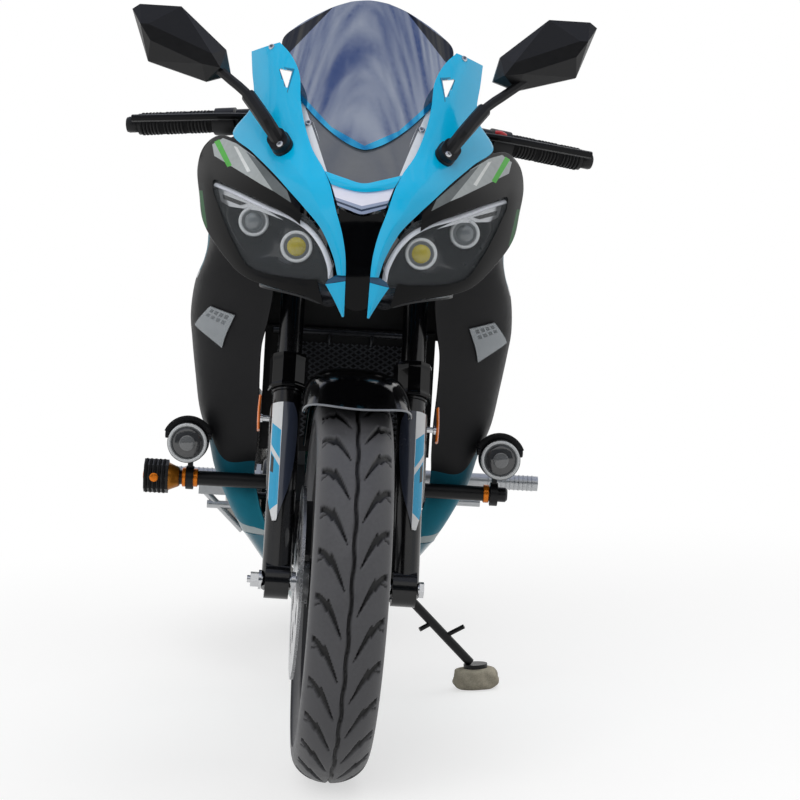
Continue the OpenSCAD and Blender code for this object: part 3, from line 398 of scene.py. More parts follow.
def copies(base: Shape, at: Array) -> Shape:
    """The same shape at many places.

    Args:
        base: shape about the origin.
        at: places (k, 3).

    Returns:
        All copies as one shape.
    """
    k, n = len(at), len(base.verts)
    v = (at[:, None] + base.verts[None]).reshape(-1, 3)
    start = (np.arange(k) * n)[:, None, None]
    faces = [(f[None] + start).reshape(-1, f.shape[1]) for f in base.faces]
    return Shape(v, faces, np.tile(base.full_uv(), (k, 1)))


@dataclass(frozen=True)
class Stance:
    """Places the upright motorcycle in the part's frame, in metres."""

    lean: float = 6.0
    lean_z: float = 68.05
    shift: tuple[float, float, float] = (-94.12, -10.62, 0.0)
    rake: float = 25.0
    head: tuple[float, float, float] = (0.0, -407.0, 810.0)
    steer: float = 2.5

    def parked(self, p: Array) -> Array:
        """Leans points about the Y axis: x' = x cos a + z sin a, z' = z cos a - x sin a.

        Args:
            p: upright points in millimetres.

        Returns:
            Points of the part's frame in metres.
        """
        a = math.radians(self.lean)
        q = np.asarray(p, float) - (0, 0, self.lean_z)
        x = q[..., 0] * math.cos(a) + q[..., 2] * math.sin(a)
        z = q[..., 2] * math.cos(a) - q[..., 0] * math.sin(a) + self.lean_z
        return (np.stack([x, q[..., 1], z], -1) + self.shift) / 1000

    def steered(self, p: Array) -> Array:
        """Turns points about the steering axis k: v cos t + (k x v) sin t + k (k.v)(1 - cos t), t at rest.

        Args:
            p: upright points with the steering straight, in millimetres.

        Returns:
            Points of the part's frame in metres.
        """
        r, t = math.radians(self.rake), math.radians(self.steer)
        k = np.array([0, math.sin(r), math.cos(r)])
        v = np.asarray(p, float) - self.head
        turned = v * math.cos(t) + np.cross(k, v) * math.sin(t) + (v @ k)[..., None] * k * (1 - math.cos(t))
        return self.parked(turned + self.head)

    def on_axis(self, p: Array) -> Array:
        """Upright points of places on the steering axis: y' = y cos r + z sin r, z' = z cos r - y sin r.

        Args:
            p: points about the middle of the head tube, with z up the steering axis.

        Returns:
            Upright points with the steering straight.
        """
        r = math.radians(self.rake)
        q = np.asarray(p, float)
        y = q[..., 1] * math.cos(r) + q[..., 2] * math.sin(r)
        z = q[..., 2] * math.cos(r) - q[..., 1] * math.sin(r)
        return np.stack([q[..., 0], y, z], -1) + self.head


STANCE = Stance()


# Finishes


class Grain(Enum):
    """Fine relief of a surface."""

    PAINT = "paint"
    PLASTIC = "plastic"
    LEATHER = "leather"
    BRUSHED = "brushed"
    CAST = "cast"
    RUBBER = "rubber"
    STONE = "stone"


def find(tree: bpy.types.NodeTree, kind: str) -> bpy.types.Node:
    """Finds the first node of a type.

    Args:
        tree: the nodes.
        kind: type of the node.

    Returns:
        The node.
    """
    return next(n for n in tree.nodes if n.type == kind)


def linear(colour: str) -> tuple[float, float, float, float]:
    """Linear colour of a hex code: ((c + 0.055) / 1.055)^2.4 above 0.04045, else c / 12.92.

    Args:
        colour: six hex digits.

    Returns:
        Red, green, blue and alpha.
    """
    c = [int(colour[k : k + 2], 16) / 255 for k in (0, 2, 4)]
    r, g, b = (((x + 0.055) / 1.055) ** 2.4 if x > 0.04045 else x / 12.92 for x in c)
    return r, g, b, 1.0


class Group:
    """Builds a shared shader node group."""

    def __init__(self, name: str, inputs: dict[str, str], outputs: dict[str, str]) -> None:
        """Makes the group with its sockets.

        Args:
            name: name of the group.
            inputs: socket names and kinds, such as NodeSocketFloat.
            outputs: the same for what it gives.
        """
        self.tree = bpy.data.node_groups.new(name, "ShaderNodeTree")
        for label, kind in inputs.items():
            self.tree.interface.new_socket(label, in_out="INPUT", socket_type=kind)
        for label, kind in outputs.items():
            self.tree.interface.new_socket(label, in_out="OUTPUT", socket_type=kind)
        self.start = self.tree.nodes.new("NodeGroupInput")
        self.end = self.tree.nodes.new("NodeGroupOutput")

    def node(self, kind: str, settings: dict | None = None, **inputs: object) -> bpy.types.Node:
        """Adds a node to the group.

        Args:
            kind: type of the node.
            settings: its options.
            inputs: what goes into its sockets, by name or as _0, _1 for a place.

        Returns:
            The node.
        """
        return add_node(self.tree, kind, settings, **inputs)


def add_node(
    tree: bpy.types.NodeTree, kind: str, settings: dict | None = None, **inputs: object,
) -> bpy.types.Node:
    """Adds a shader node and fills its sockets.

    Args:
        tree: where it goes.
        kind: type of the node.
        settings: its options.
        inputs: sockets to link or values to set, by name or as _0, _1 for a place.

    Returns:
        The node.
    """
    node = tree.nodes.new(kind)
    for key, value in (settings or {}).items():
        setattr(node, key, value)
    for key, value in inputs.items():
        socket = node.inputs[int(key[1:])] if key[0] == "_" else node.inputs[key.replace("_", " ")]
        if isinstance(value, bpy.types.NodeSocket):
            tree.links.new(value, socket)
        else:
            socket.default_value = value
    return node


def maths(tree: bpy.types.NodeTree, operation: str, a: object, b: object) -> bpy.types.NodeSocket:
    """Adds a maths node.

    Args:
        tree: where it goes.
        operation: what it does.
        a: first value or socket.
        b: second value or socket.

    Returns:
        The result's socket.
    """
    return add_node(tree, "ShaderNodeMath", {"operation": operation}, _0=a, _1=b).outputs[0]


def mixed(
    tree: bpy.types.NodeTree, mask: bpy.types.NodeSocket, below: bpy.types.NodeSocket, colour: str
) -> bpy.types.NodeSocket:
    """Lays a plain colour over another where a mask is 1.

    Args:
        tree: the material's nodes.
        mask: the mask's socket.
        below: the colour's socket.
        colour: six hex digits.

    Returns:
        The new colour's socket.
    """
    kind = {"data_type": "RGBA"}
    return add_node(tree, "ShaderNodeMix", kind, _0=mask, _6=below, _7=linear(colour)).outputs[2]


@lru_cache(maxsize=None)
def mottle_group() -> bpy.types.NodeTree:
    """Returns: a group that varies a colour in soft clouds and gives a wear value for the roughness."""
    kinds = {"Vector": "NodeSocketVector", "Color": "NodeSocketColor", "Amount": "NodeSocketFloat"}
    g = Group(
        "Mottle", {**kinds, "Scale": "NodeSocketFloat"},
        {"Color": "NodeSocketColor", "Wear": "NodeSocketFloat"},
    )
    s = g.start.outputs
    big = g.node("ShaderNodeTexNoise", Vector=s["Vector"], Scale=s["Scale"], Detail=5.0, Roughness=0.6)
    fine = maths(g.tree, "MULTIPLY", s["Scale"], 9.0)
    small = g.node("ShaderNodeTexNoise", Vector=s["Vector"], Scale=fine, Detail=3.0)
    both = maths(g.tree, "ADD", big.outputs[0], small.outputs[0])
    sized = maths(g.tree, "MULTIPLY", maths(g.tree, "SUBTRACT", both, 1.0), s["Amount"])
    gain = maths(g.tree, "ADD", sized, 1.0)
    out = g.node("ShaderNodeVectorMath", {"operation": "SCALE"}, _0=s["Color"], Scale=gain)
    g.tree.links.new(out.outputs[0], g.end.inputs["Color"])
    g.tree.links.new(sized, g.end.inputs["Wear"])
    return g.tree


@lru_cache(maxsize=None)
def half_plane_group() -> bpy.types.NodeTree:
    """Returns: a group whose mask is 1 where nx u + ny v is over a limit."""
    kinds = {"Vector": "NodeSocketVector", "Normal": "NodeSocketVector", "Limit": "NodeSocketFloat"}
    g = Group("HalfPlane", kinds, {"Mask": "NodeSocketFloat"})
    s = g.start.outputs
    dot = g.node("ShaderNodeVectorMath", {"operation": "DOT_PRODUCT"}, _0=s["Vector"], _1=s["Normal"])
    over = maths(g.tree, "GREATER_THAN", dot.outputs["Value"], s["Limit"])
    g.tree.links.new(over, g.end.inputs["Mask"])
    return g.tree


@lru_cache(maxsize=None)
def grain_group(grain: Grain) -> bpy.types.NodeTree:
    """Relief of one kind of surface.

    Args:
        grain: the kind.

    Returns:
        A group that gives a bump height.
    """
    kinds = {"Vector": "NodeSocketVector", "Scale": "NodeSocketFloat"}
    g = Group("Grain_" + grain.value, kinds, {"Height": "NodeSocketFloat"})
    s = g.start.outputs
    vector: bpy.types.NodeSocket = s["Vector"]
    if grain is Grain.BRUSHED:
        along = g.node("ShaderNodeVectorMath", {"operation": "MULTIPLY"}, _0=vector, _1=(1.0, 0.04, 1.0))
        vector = along.outputs[0]
    if grain is Grain.LEATHER:
        edge = {"feature": "DISTANCE_TO_EDGE"}
        cell = g.node("ShaderNodeTexVoronoi", edge, Vector=vector, Scale=s["Scale"])
        out = maths(g.tree, "MINIMUM", cell.outputs["Distance"], 0.18)
    else:
        detail, rough = {Grain.STONE: (9.0, 0.75), Grain.CAST: (9.0, 0.55)}.get(grain, (4.0, 0.5))
        noise = g.node("ShaderNodeTexNoise", Vector=vector, Scale=s["Scale"], Detail=detail, Roughness=rough)
        out = noise.outputs[0]
    g.tree.links.new(out, g.end.inputs["Height"])
    return g.tree


WEAR = 0.8
GRAIN_DEPTH = 0.001
COAT_ROUGHNESS = 0.04


@dataclass(frozen=True)
class Patch:
    """Plain coloured field on a surface, with a convex outline in texture millimetres."""

    outline: tuple[tuple[float, float], ...]
    colour: str
    alpha: float | None = None


@dataclass(frozen=True)
class Finish:
    """Procedural material of a surface."""

    name: str
    colour: str
    roughness: float = 0.4
    metallic: float = 0.0
    coat: float = 0.0
    alpha: float = 1.0
    glow: float = 0.0
    grain: Grain = Grain.PLASTIC
    scale: float = 900.0
    bump: float = 0.08
    mottle: float = 0.12
    spread: float = 14.0
    patches: tuple[Patch, ...] = ()
    # Colour where the mesh's mask is 1; the tyre uses it as painted shade in its grooves.
    groove: str = ""
    specular: float = 0.5

    def base(self, tree: bpy.types.NodeTree) -> bpy.types.NodeSocket:
        """Colour before the patches.

        Args:
            tree: the material's nodes.

        Returns:
            The colour's socket.
        """
        tone = add_node(tree, "ShaderNodeRGB")
        tone.outputs[0].default_value = linear(self.colour)
        if not self.groove:
            return tone.outputs[0]
        mark = add_node(tree, "ShaderNodeAttribute", {"attribute_name": "mask"})
        return mixed(tree, mark.outputs["Fac"], tone.outputs[0], self.groove)

    def patched(self, tree: bpy.types.NodeTree, colour: bpy.types.NodeSocket) -> tuple:
        """Lays the patches over a colour.

        Args:
            tree: the material's nodes.
            colour: what lies below.

        Returns:
            The new colour's socket, and the alpha's socket or None.
        """
        alpha = None
        if not self.patches:
            return colour, alpha
        uv = add_node(tree, "ShaderNodeUVMap", {"uv_map": "UVMap"})
        for patch in self.patches:
            q = np.asarray(patch.outline, float) / 1000
            e = np.roll(q, -1, 0) - q
            turn = np.sign(np.sum(q[:, 0] * np.roll(q, -1, 0)[:, 1] - q[:, 1] * np.roll(q, -1, 0)[:, 0]))
            n = np.stack([-e[:, 1], e[:, 0]], -1) * turn
            mask: bpy.types.NodeSocket | None = None
            for normal, point in zip(n, q):
                edge = add_node(
                    tree, "ShaderNodeGroup", {"node_tree": half_plane_group()},
                    Vector=uv.outputs[0], Normal=(*normal, 0), Limit=float(normal @ point),
                ).outputs[0]
                mask = edge if mask is None else maths(tree, "MULTIPLY", mask, edge)
            colour = mixed(tree, mask, colour, patch.colour)
            if patch.alpha is not None:
                below = self.alpha if alpha is None else alpha
                alpha = add_node(tree, "ShaderNodeMix", _0=mask, _2=below, _3=patch.alpha).outputs[0]
        return colour, alpha

    @lru_cache(maxsize=None)
    def material(self) -> bpy.types.Material:
        """Returns: the Blender material, made once."""
        m = bpy.data.materials.new(self.name)
        m.use_nodes = True
        tree = m.node_tree
        shader = find(tree, "BSDF_PRINCIPLED")
        at = add_node(tree, "ShaderNodeTexCoord").outputs["Object"]
        colour, alpha = self.patched(tree, self.base(tree))
        mottle = add_node(
            tree, "ShaderNodeGroup", {"node_tree": mottle_group()}, Vector=at, Color=colour,
            Amount=self.mottle, Scale=self.spread,
        )
        tree.links.new(mottle.outputs["Color"], shader.inputs["Base Color"])
        rough = add_node(
            tree, "ShaderNodeMath", {"operation": "MULTIPLY_ADD", "use_clamp": True},
            _0=mottle.outputs["Wear"], _1=WEAR, _2=self.roughness,
        )
        tree.links.new(rough.outputs[0], shader.inputs["Roughness"])
        height = add_node(
            tree, "ShaderNodeGroup", {"node_tree": grain_group(self.grain)}, Vector=at, Scale=self.scale,
        )
        bump = add_node(
            tree, "ShaderNodeBump", Strength=self.bump, Distance=GRAIN_DEPTH, Height=height.outputs[0],
        )
        tree.links.new(bump.outputs[0], shader.inputs["Normal"])
        shader.inputs["Metallic"].default_value = self.metallic
        shader.inputs["Coat Weight"].default_value = self.coat
        shader.inputs["Coat Roughness"].default_value = COAT_ROUGHNESS
        shader.inputs["Specular IOR Level"].default_value = self.specular
        shader.inputs["Alpha"].default_value = self.alpha
        if alpha is not None:
            tree.links.new(alpha, shader.inputs["Alpha"])
        if self.glow:
            tree.links.new(mottle.outputs["Color"], shader.inputs["Emission Color"])
            shader.inputs["Emission Strength"].default_value = self.glow
        return m


CYAN = Finish(
    "cyan_paint", "00B8EA", 0.18, coat=0.4, grain=Grain.PAINT, scale=2600, bump=0.03, mottle=0.05, spread=6,
    specular=0.25,
)
# The cyan paint's shaded tone: painted shade on the frames that step back into the vents.
SHADED_CYAN = replace(CYAN, name="cyan_paint_painted_shade", colour="0A7FA8")
BAND_BLUE = replace(CYAN, name="band_blue", colour="0B4A6C")
GLOSS_BLACK = Finish(
    "gloss_black", "050506", 0.08, coat=0.22, grain=Grain.PAINT, scale=1500, bump=0.03, mottle=0.3,
    specular=0.15,
)
DEEP_BLACK = Finish(
    "deep_black", "040405", 0.1, coat=0.08, grain=Grain.PAINT, scale=1500, bump=0.03, mottle=0.3,
    specular=0.1,
)
SATIN_BLACK = Finish("satin_black", "0F0F11", 0.4, scale=1400, bump=0.12, mottle=0.2, specular=0.28)
MATT_BLACK = Finish("matt_black", "161618", 0.52, scale=1800, bump=0.2, mottle=0.22, specular=0.2)
GREY_BLACK = Finish("grey_black", "202124", 0.3, scale=1400, bump=0.1, mottle=0.3, specular=0.25)
POWDER = Finish("powder_black", "0B0B0D", 0.36, scale=1600, bump=0.22, mottle=0.25, specular=0.28)
FRAME_BLACK = Finish(
    "frame_black", "0E0E10", 0.4, grain=Grain.CAST, scale=700, bump=0.16, mottle=0.25, specular=0.25,
)
CASTING = Finish(
    "engine_casting", "55575A", 0.46, metallic=0.85, grain=Grain.CAST, scale=900, bump=0.35, mottle=0.35,
)
COVER = Finish(
    "engine_cover", "2B2C2F", 0.4, metallic=0.6, grain=Grain.CAST, scale=1100, bump=0.25, mottle=0.3,
)
STEEL = Finish(
    "exhaust_steel", "8E8C88", 0.3, metallic=1.0, grain=Grain.BRUSHED, scale=1400, bump=0.2, mottle=0.35,
)
BRIGHT = Finish(
    "bright_steel", "C9CACC", 0.22, metallic=1.0, grain=Grain.BRUSHED, scale=1800, bump=0.1, mottle=0.2,
)
DISC = Finish(
    "disc_steel", "A9AAAC", 0.28, metallic=1.0, grain=Grain.BRUSHED, scale=2400, bump=0.3, mottle=0.25,
)
ALLOY = Finish(
    "bare_alloy", "B6B8BA", 0.34, metallic=0.95, grain=Grain.CAST, scale=1500, bump=0.15, mottle=0.25,
)
FORK = Finish(
    "fork_black", "08080A", 0.22, coat=0.3, grain=Grain.CAST, scale=900, bump=0.05, mottle=0.3, specular=0.3,
)
# The tread's mid grey is partly the rubber's own colour and partly painted sheen; the near-black groove colour
# is painted shade in the cuts.
RUBBER = Finish(
    "tyre_rubber", "4E4E51", 0.46, grain=Grain.RUBBER, scale=1200, bump=0.2, mottle=0.35, spread=22,
    groove="050506", specular=0.35,
)
GRIP = Finish(
    "grip_rubber", "0C0C0D", 0.7, grain=Grain.RUBBER, scale=1500, bump=0.3, mottle=0.2, specular=0.2,
)
SEAT = Finish("seat_cover", "1A1A1B", 0.62, grain=Grain.LEATHER, scale=620, bump=0.5, mottle=0.18)
STONE = Finish("stone", "B4AC9A", 0.9, grain=Grain.STONE, scale=120, bump=1.0, mottle=0.75, spread=45)
WHITE_LAMP = Finish("white_lamp", "DFE0F0", 0.2, coat=0.3, glow=0.08, mottle=0.04)
GLASS = Finish("lamp_lens", "B8C0C6", 0.03, alpha=0.05, coat=0.35, grain=Grain.PAINT, bump=0.01, mottle=0.02)
HALO = Finish("halo_ring", "C6CACD", 0.18, coat=0.4, glow=0.05, mottle=0.08, spread=60)
LED = Finish("led_strip", "DCE0EA", 0.16, coat=0.5, glow=0.1, mottle=0.1, spread=70)
YELLOW = Finish(
    "yellow_lens", "A89A14", 0.1, coat=0.6, glow=0.04, grain=Grain.LEATHER, scale=190, bump=0.9, mottle=0.6,
    spread=120,
)
CLEAR_DOME = Finish(
    "clear_dome", "6E7478", 0.06, coat=0.7, grain=Grain.LEATHER, scale=120, bump=0.3, mottle=0.6, spread=60,
)
SILVER = Finish(
    "silver_trim", "B9BCC0", 0.2, metallic=0.7, grain=Grain.PAINT, scale=900, bump=0.05, mottle=0.25,
)
BOWL = Finish("lamp_bowl", "0D0E10", 0.2, coat=0.3, mottle=0.35, specular=0.3)
ORANGE = Finish("orange_anodised", "E07A12", 0.3, metallic=0.6, grain=Grain.BRUSHED, scale=1600, bump=0.1)
GOLD = Finish(
    "gold_anodised", "A96A1A", 0.34, metallic=0.7, grain=Grain.BRUSHED, scale=1600, bump=0.15, mottle=0.3,
)
# The reflectors' glow is painted light: a reflector sends out no light of its own.
AMBER_PAINTED_GLOW = Finish(
    "amber_reflector_painted_glow", "E0700A", 0.2, coat=0.8, glow=0.12, grain=Grain.LEATHER, scale=700, bump=0.4,
)
RED = Finish("red_plastic", "C4121A", 0.3, coat=0.3)
RED_LAMP = Finish(
    "red_lamp", "8E0B10", 0.12, coat=0.9, glow=0.1, grain=Grain.LEATHER, scale=400, bump=0.3, mottle=0.3,
)
MIRROR = Finish("mirror_glass", "DDE2E6", 0.03, metallic=1.0, grain=Grain.PAINT, bump=0.0, mottle=0.02)
WHITE = Finish("white_plastic", "E4E6E8", 0.26, coat=0.4, mottle=0.06)


# The workshop

NODE_EDGE = 40.0


def round_edges(obj: bpy.types.Object, width: float, angle: float) -> bpy.types.BevelModifier:
    """Rounds an object's sharp edges.

    Args:
        obj: the object.
        width: width of the rounding, in millimetres.
        angle: edges sharper than this many degrees are rounded.

    Returns:
        The modifier.
    """
    edge = obj.modifiers.new("edges", "BEVEL")
    edge.width, edge.segments, edge.limit_method = width / 1000, 2, "ANGLE"
    edge.angle_limit = math.radians(angle)
    return edge


class Workshop:
    """Turns shapes into pieces of the model and dresses the frame's nodes."""

    def __init__(self, frame: dict) -> None:
        """Keeps the loaded frame.
        """
        self.nodes: dict[str, bpy.types.Object] = frame["nodes"]
        self.slots = {s["node"]: s["material_slot"] for s in frame["record"]["subparts"]}
        self.bodies = {n: b for b, ns in frame["record"]["behaviour"]["bodies"].items() for n in ns}
        self.dressed: set[str] = set()

    def piece(
        self,
        name: str,
        shape: Shape,
        finish: Finish,
        node: str,
        replaces: bool = False,
        bevel: float = 0.0,
        angle: float = 38.0,
        placed: bool = False,
    ) -> bpy.types.Object:
        """Makes a mesh object that rides with a node's body.

        Args:
            name: name of the piece.
            shape: its mesh, in upright millimetres.
            finish: its material.
            node: frame node that it dresses or replaces.
            replaces: whether the node is hidden.
            bevel: width of rounded edges, in millimetres.
            angle: edges sharper than this many degrees stay sharp.
            placed: whether the points are already in metres of the part's frame.

        Returns:
            The object.
        """
        uv, points = shape.full_uv(), shape.verts
        if not placed:
            turns = self.bodies[node] in ("steering", "front_wheel")
            points = STANCE.steered(points) if turns else STANCE.parked(points)
        shape = replace(shape, uv=uv, verts=points)
        mesh = bpy.data.meshes.new(name)
        loops = np.concatenate([f.ravel() for f in shape.faces]).astype(np.int32)
        sizes = np.concatenate([np.full(len(f), f.shape[1]) for f in shape.faces])
        starts = np.concatenate([[0], np.cumsum(sizes)[:-1]]).astype(np.int32)
        mesh.vertices.add(len(shape.verts))
        mesh.vertices.foreach_set("co", shape.verts.astype(np.float32).ravel())
        mesh.loops.add(len(loops))
        mesh.loops.foreach_set("vertex_index", loops)
        mesh.polygons.add(len(sizes))
        mesh.polygons.foreach_set("loop_start", starts)
        mesh.update(calc_edges=True)
        layer = mesh.uv_layers.new(name="UVMap")
        layer.data.foreach_set("uv", shape.full_uv()[loops].astype(np.float32).ravel())
        mark = mesh.attributes.new("mask", "FLOAT", "POINT")
        mark.data.foreach_set("value", shape.full_mask().astype(np.float32))
        mesh.validate()
        bm = bmesh.new()
        bm.from_mesh(mesh)
        loose = [v for v in bm.verts if not v.link_faces]
        bmesh.ops.delete(bm, geom=loose, context="VERTS")
        bmesh.ops.recalc_face_normals(bm, faces=bm.faces)
        bm.to_mesh(mesh)
        bm.free()
        mesh.shade_smooth()
        mesh.set_sharp_from_angle(angle=math.radians(angle))
        mesh.materials.append(finish.material())
        obj = bpy.data.objects.new(name, mesh)
        bpy.context.scene.collection.objects.link(obj)
        if bevel:
            round_edges(obj, bevel, angle).harden_normals = True
        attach(obj, self.bodies[node])
        if replaces:
            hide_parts(node)
            self.dressed.add(node)
        LOG.info("%s: %d points", name, len(shape.verts))
        return obj

    def dress(self, finish: Finish, *nodes: str, bevel: float = 0.0) -> None:
        """Gives frame nodes a finish.

        Args:
            finish: the material.
            nodes: names of the nodes.
            bevel: width of rounded edges, in millimetres.
        """
        for name in nodes:
            obj = self.nodes[name]
            if not obj.material_slots:
                obj.data.materials.append(finish.material())
            for slot in obj.material_slots:
                slot.material = finish.material()
            if bevel:
                round_edges(obj, bevel, NODE_EDGE)
            self.dressed.add(name)
            LOG.info("%s: dressed as %s", name, finish.name)


def bolt(at: Sequence[float], direction: Sequence[float], r: float) -> Shape:
    """Round-headed screw with a hexagonal socket.

    Args:
        at: middle of its seat.
        direction: the way that its head faces.
        r: radius of the head.

    Returns:
        The screw's shape.
    """
    rows = [
        (r, -1.2), (r, 0.25 * r), (0.86 * r, 0.5 * r), (0.58 * r, 0.58 * r), (0.52 * r, 0.56 * r),
        (0.5 * r, 0.1 * r),
    ]
    return revolve(rows, at, direction, 24, hexed=0.56 * r)


# Bodywork

NOSE_LINE = (
    (690, -790), (760, -798), (843, -785), (884, -768), (910, -745), (960, -702), (1010, -662), (1110, -590),
)
PANEL = 3.0
UNDER = 4.2


def nose_y(x: Array, z: Array) -> Array:
    """Nose surface: the profile at z, softened over 24 mm, plus x^2 / 290.

    Args:
        x: distance from the middle plane.
        z: height.

    Returns:
        How far forward the surface lies.
    """
    zs, ys = np.array(NOSE_LINE, float).T
    x, z = np.asarray(x, float), np.asarray(z, float)
    return np.mean([np.interp(z + d, zs, ys) for d in (-12, -6, 0, 6, 12)], 0) + x * x / 290


def screen_y(x: Array, z: Array) -> Array:
    """Windscreen surface: y = -765.5 + 1.11 (z - 888) + x^2 / 400.

    Args:
        x: distance from the middle plane.
        z: height.

    Returns:
        How far forward the surface lies.
    """
    return -765.5 + (np.asarray(z, float) - 888) * 1.11 + np.asarray(x, float) ** 2 / 400


def between(rows: Rows, steps: int, v: Array) -> tuple[Array, Array]:
    """Strip of the front view: x and z run straight from one edge to the other.

    Args:
        rows: x, z of one edge and x, z of the other.
        steps: steps along the edges.
        v: places across, from 0 to 1.

    Returns:
        Grids of x and z.
    """
    r = smooth(rows, steps)
    return r[:, :1] + (r[:, 2:3] - r[:, :1]) * v, r[:, 1:2] + (r[:, 3:4] - r[:, 1:2]) * v


def shell(p: Array, probe: tuple[int, int, int]) -> Shape:
    """Panel behind a grid, p - thickness n, with the side view's y and z as texture points.

    Args:
        p: shown grid (m, n, 3).
        probe: row, column and axis where the normal points outwards.

    Returns:
        The closed panel.
    """
    n = normals(p)
    return slab(p, p - PANEL * n * np.sign(n[probe]), p[..., 1:] / 1000)


def hoop(r: float, h: float, a: float, b: float, count: int) -> list[tuple[float, float]]:
    """Closed oval profile of a ring, (r + a cos t, h + b sin t).

    Args:
        r: radius of the ring.
        h: height of its middle.
        a: half width of the section.
        b: half height of the section.
        count: points in the section.

    Returns:
        Rows of radius and height.
    """
    t = np.linspace(0, 2 * np.pi, count + 1)[:-1]
    return [(r + a * math.cos(k), h + b * math.sin(k)) for k in (*t, 0.0)]


def dome(r: float, h: float, rise: float, count: int) -> list[tuple[float, float]]:
    """Profile of a domed lens, (r k, h - rise sqrt(1 - k^2)).

    Args:
        r: radius of the rim.
        h: height of the rim.
        rise: height of the dome.
        count: points in the profile.

    Returns:
        Rows of radius and height.
    """
    return [(r * k, h - rise * math.sqrt(max(1 - k * k, 0))) for k in np.linspace(0.02, 1, count)]


def front_sheet(
    rows: Rows, steps: int, across: int, back: float = 0, crown: float = 0, crease: float = 0
) -> Shape:
    """Panel of the nose between two edges, raised by crown sin(pi v) and by a crease at v = 0.5.

    Args:
        rows: x, z of one edge and x, z of the other.
        steps: steps along the edges.
        across: steps between them.
        back: set-back behind the nose surface.
        crown: height of the soft bulge.
        crease: height of the sharp fold.

    Returns:
        The closed panel.
    """
    v = np.linspace(0, 1, across + 1)
    x, z = between(rows, steps, v)
    fold = crown * np.sin(np.pi * v) + crease * (1 - np.abs(2 * v - 1))
    y = nose_y(x, z) + back - fold
    return slab(np.stack([x, y, z], -1), np.stack([x, y + PANEL, z], -1))


def on_nose(back: float) -> Callable[[Array, float], Array]:
    """Places front-view points on the nose surface.

    Args:
        back: set-back behind the surface.

    Returns:
        A function of points and depth.
    """
    def place(q: Array, depth: float) -> Array:
        """Args: q: points (x, z); depth: further set-back. Returns: points of the surface."""
        return np.stack([q[..., 0], nose_y(q[..., 0], q[..., 1]) + back + depth, q[..., 1]], -1)

    return place


@dataclass
class NoseCowl:
    """Painted cowl with its ears, blades and teeth, the black panel and the white lamp between them."""

    cowl_rows: Rows = (
        (136, 1102, 180, 1088), (116, 1080, 176, 1054), (102, 1050, 171, 1020), (98, 1012, 176, 994),
        (90, 975, 199, 957), (76, 937, 166, 929), (58, 908, 131, 898), (47, 884, 104, 871),
        (37, 850, 84, 851), (26, 816, 57, 821), (19.5, 784, 38, 784), (17.5, 756, 30, 756),
    )
    ridge_rows: Rows = (
        (-46, 886, -56, 905), (-24, 880, -26, 896), (0, 877, 0, 890), (24, 880, 26, 896), (46, 886, 56, 905),
    )
    fang_rows: Rows = ((17.5, 748, 46, 742), (17, 722, 32.5, 720), (16.5, 697, 19.5, 696))
    band_rows: Rows = ((17.5, 757, 31, 756), (17.5, 750, 42, 749), (17.5, 741, 47, 740))
    vent: Rows = ((134, 1060), (114, 1056), (120, 1026))
    ear_screw: tuple[float, float] = (148, 1094)
    panel_rows: Rows = (
        (-33, 853, -27, 752), (-20, 847, -20, 716), (0, 842, 0, 706), (20, 847, 20, 716), (33, 853, 27, 752),
    )
    lamp_rows: Rows = (
        (-46, 887, -35, 856), (-22, 884, -18, 850), (0, 881, 0, 845), (22, 884, 18, 850), (46, 887, 35, 856),
    )

    def cowl(self) -> Shape:
        """Returns: both halves of the cowl with their vents, the ridge and the teeth."""
        half = front_sheet(self.cowl_rows, 150, 26, crown=2.5, crease=3.0)
        seen = np.stack([np.abs(half.verts[:, 0]), half.verts[:, 2]], -1)
        half = half.cut(inside(self.vent, seen).astype(float))
        ridge = front_sheet(self.ridge_rows, 48, 10, crown=1.5, crease=2.0)
        fang = front_sheet(self.fang_rows, 30, 12, crown=1.0, crease=1.5)
        return merged(half.both(), ridge, fang.both())

    def vent_frame(self) -> Shape:
        """Returns: raised frame round each vent, rings scaled about the vent's middle and stepped back."""
        q = np.asarray(self.vent, float)
        e = np.concatenate([np.linspace(q[k], q[(k + 1) % 3], 12, endpoint=False) for k in range(3)])
        c = e.mean(0)
        steps = np.array(
            [(1.42, -0.2), (1.34, -3.4), (1.12, -3.6), (1.0, -1.5), (0.92, 12.0), (0.98, 14.0), (1.3, 4.0)]
        )
        flat = c + (e - c) * steps[:, :1, None]
        y = nose_y(flat[..., 0], flat[..., 1]) + steps[:, 1:]
        return grid(np.stack([flat[..., 0], y, flat[..., 1]], -1), wrap=True).both()

    def build(self, shop: Workshop) -> None:
        """Adds the cowl's pieces.

        Args:
            shop: where the pieces are made.
        """
        shop.piece("nose_cowl_skin", self.cowl(), CYAN, "nose_cowl", True, bevel=0.7)
        # The vent frames take the shaded cyan: painted shade round and inside the vents.
        shop.piece("vent_frames", self.vent_frame(), SHADED_CYAN, "nose_cowl")
        band = front_sheet(self.band_rows, 10, 8, back=2.2)
        shop.piece("tooth_bands", band.both(), BAND_BLUE, "nose_cowl")
        shop.piece(
            "nose_panel_skin", front_sheet(self.panel_rows, 48, 24, UNDER - 0.5, crown=1.2), DEEP_BLACK,
            "nose_panel", True, bevel=0.6,
        )
        white = replace(
            WHITE_LAMP, name="running_lamp",
            patches=(
                Patch(((0, 857), (44, 869), (44, 840), (0, 840)), "8E9BB8"),
                Patch(((0, 852), (40, 864), (40, 861), (0, 849)), "2A3850"),
            ),
        )
        shop.piece(
            "running_lamp_lens", front_sheet(self.lamp_rows, 48, 16, UNDER, crown=1.0, crease=1.2), white,
            "running_lamp", True, bevel=0.5,
        )
        x, z = self.ear_screw
        screws = [bolt((s * x, nose_y(x, z) - 4, z), (s * 0.25, -0.75, 0.6), 5) for s in (-1, 1)]
        shop.piece("ear_screws", merged(*screws), BRIGHT, "nose_cowl")


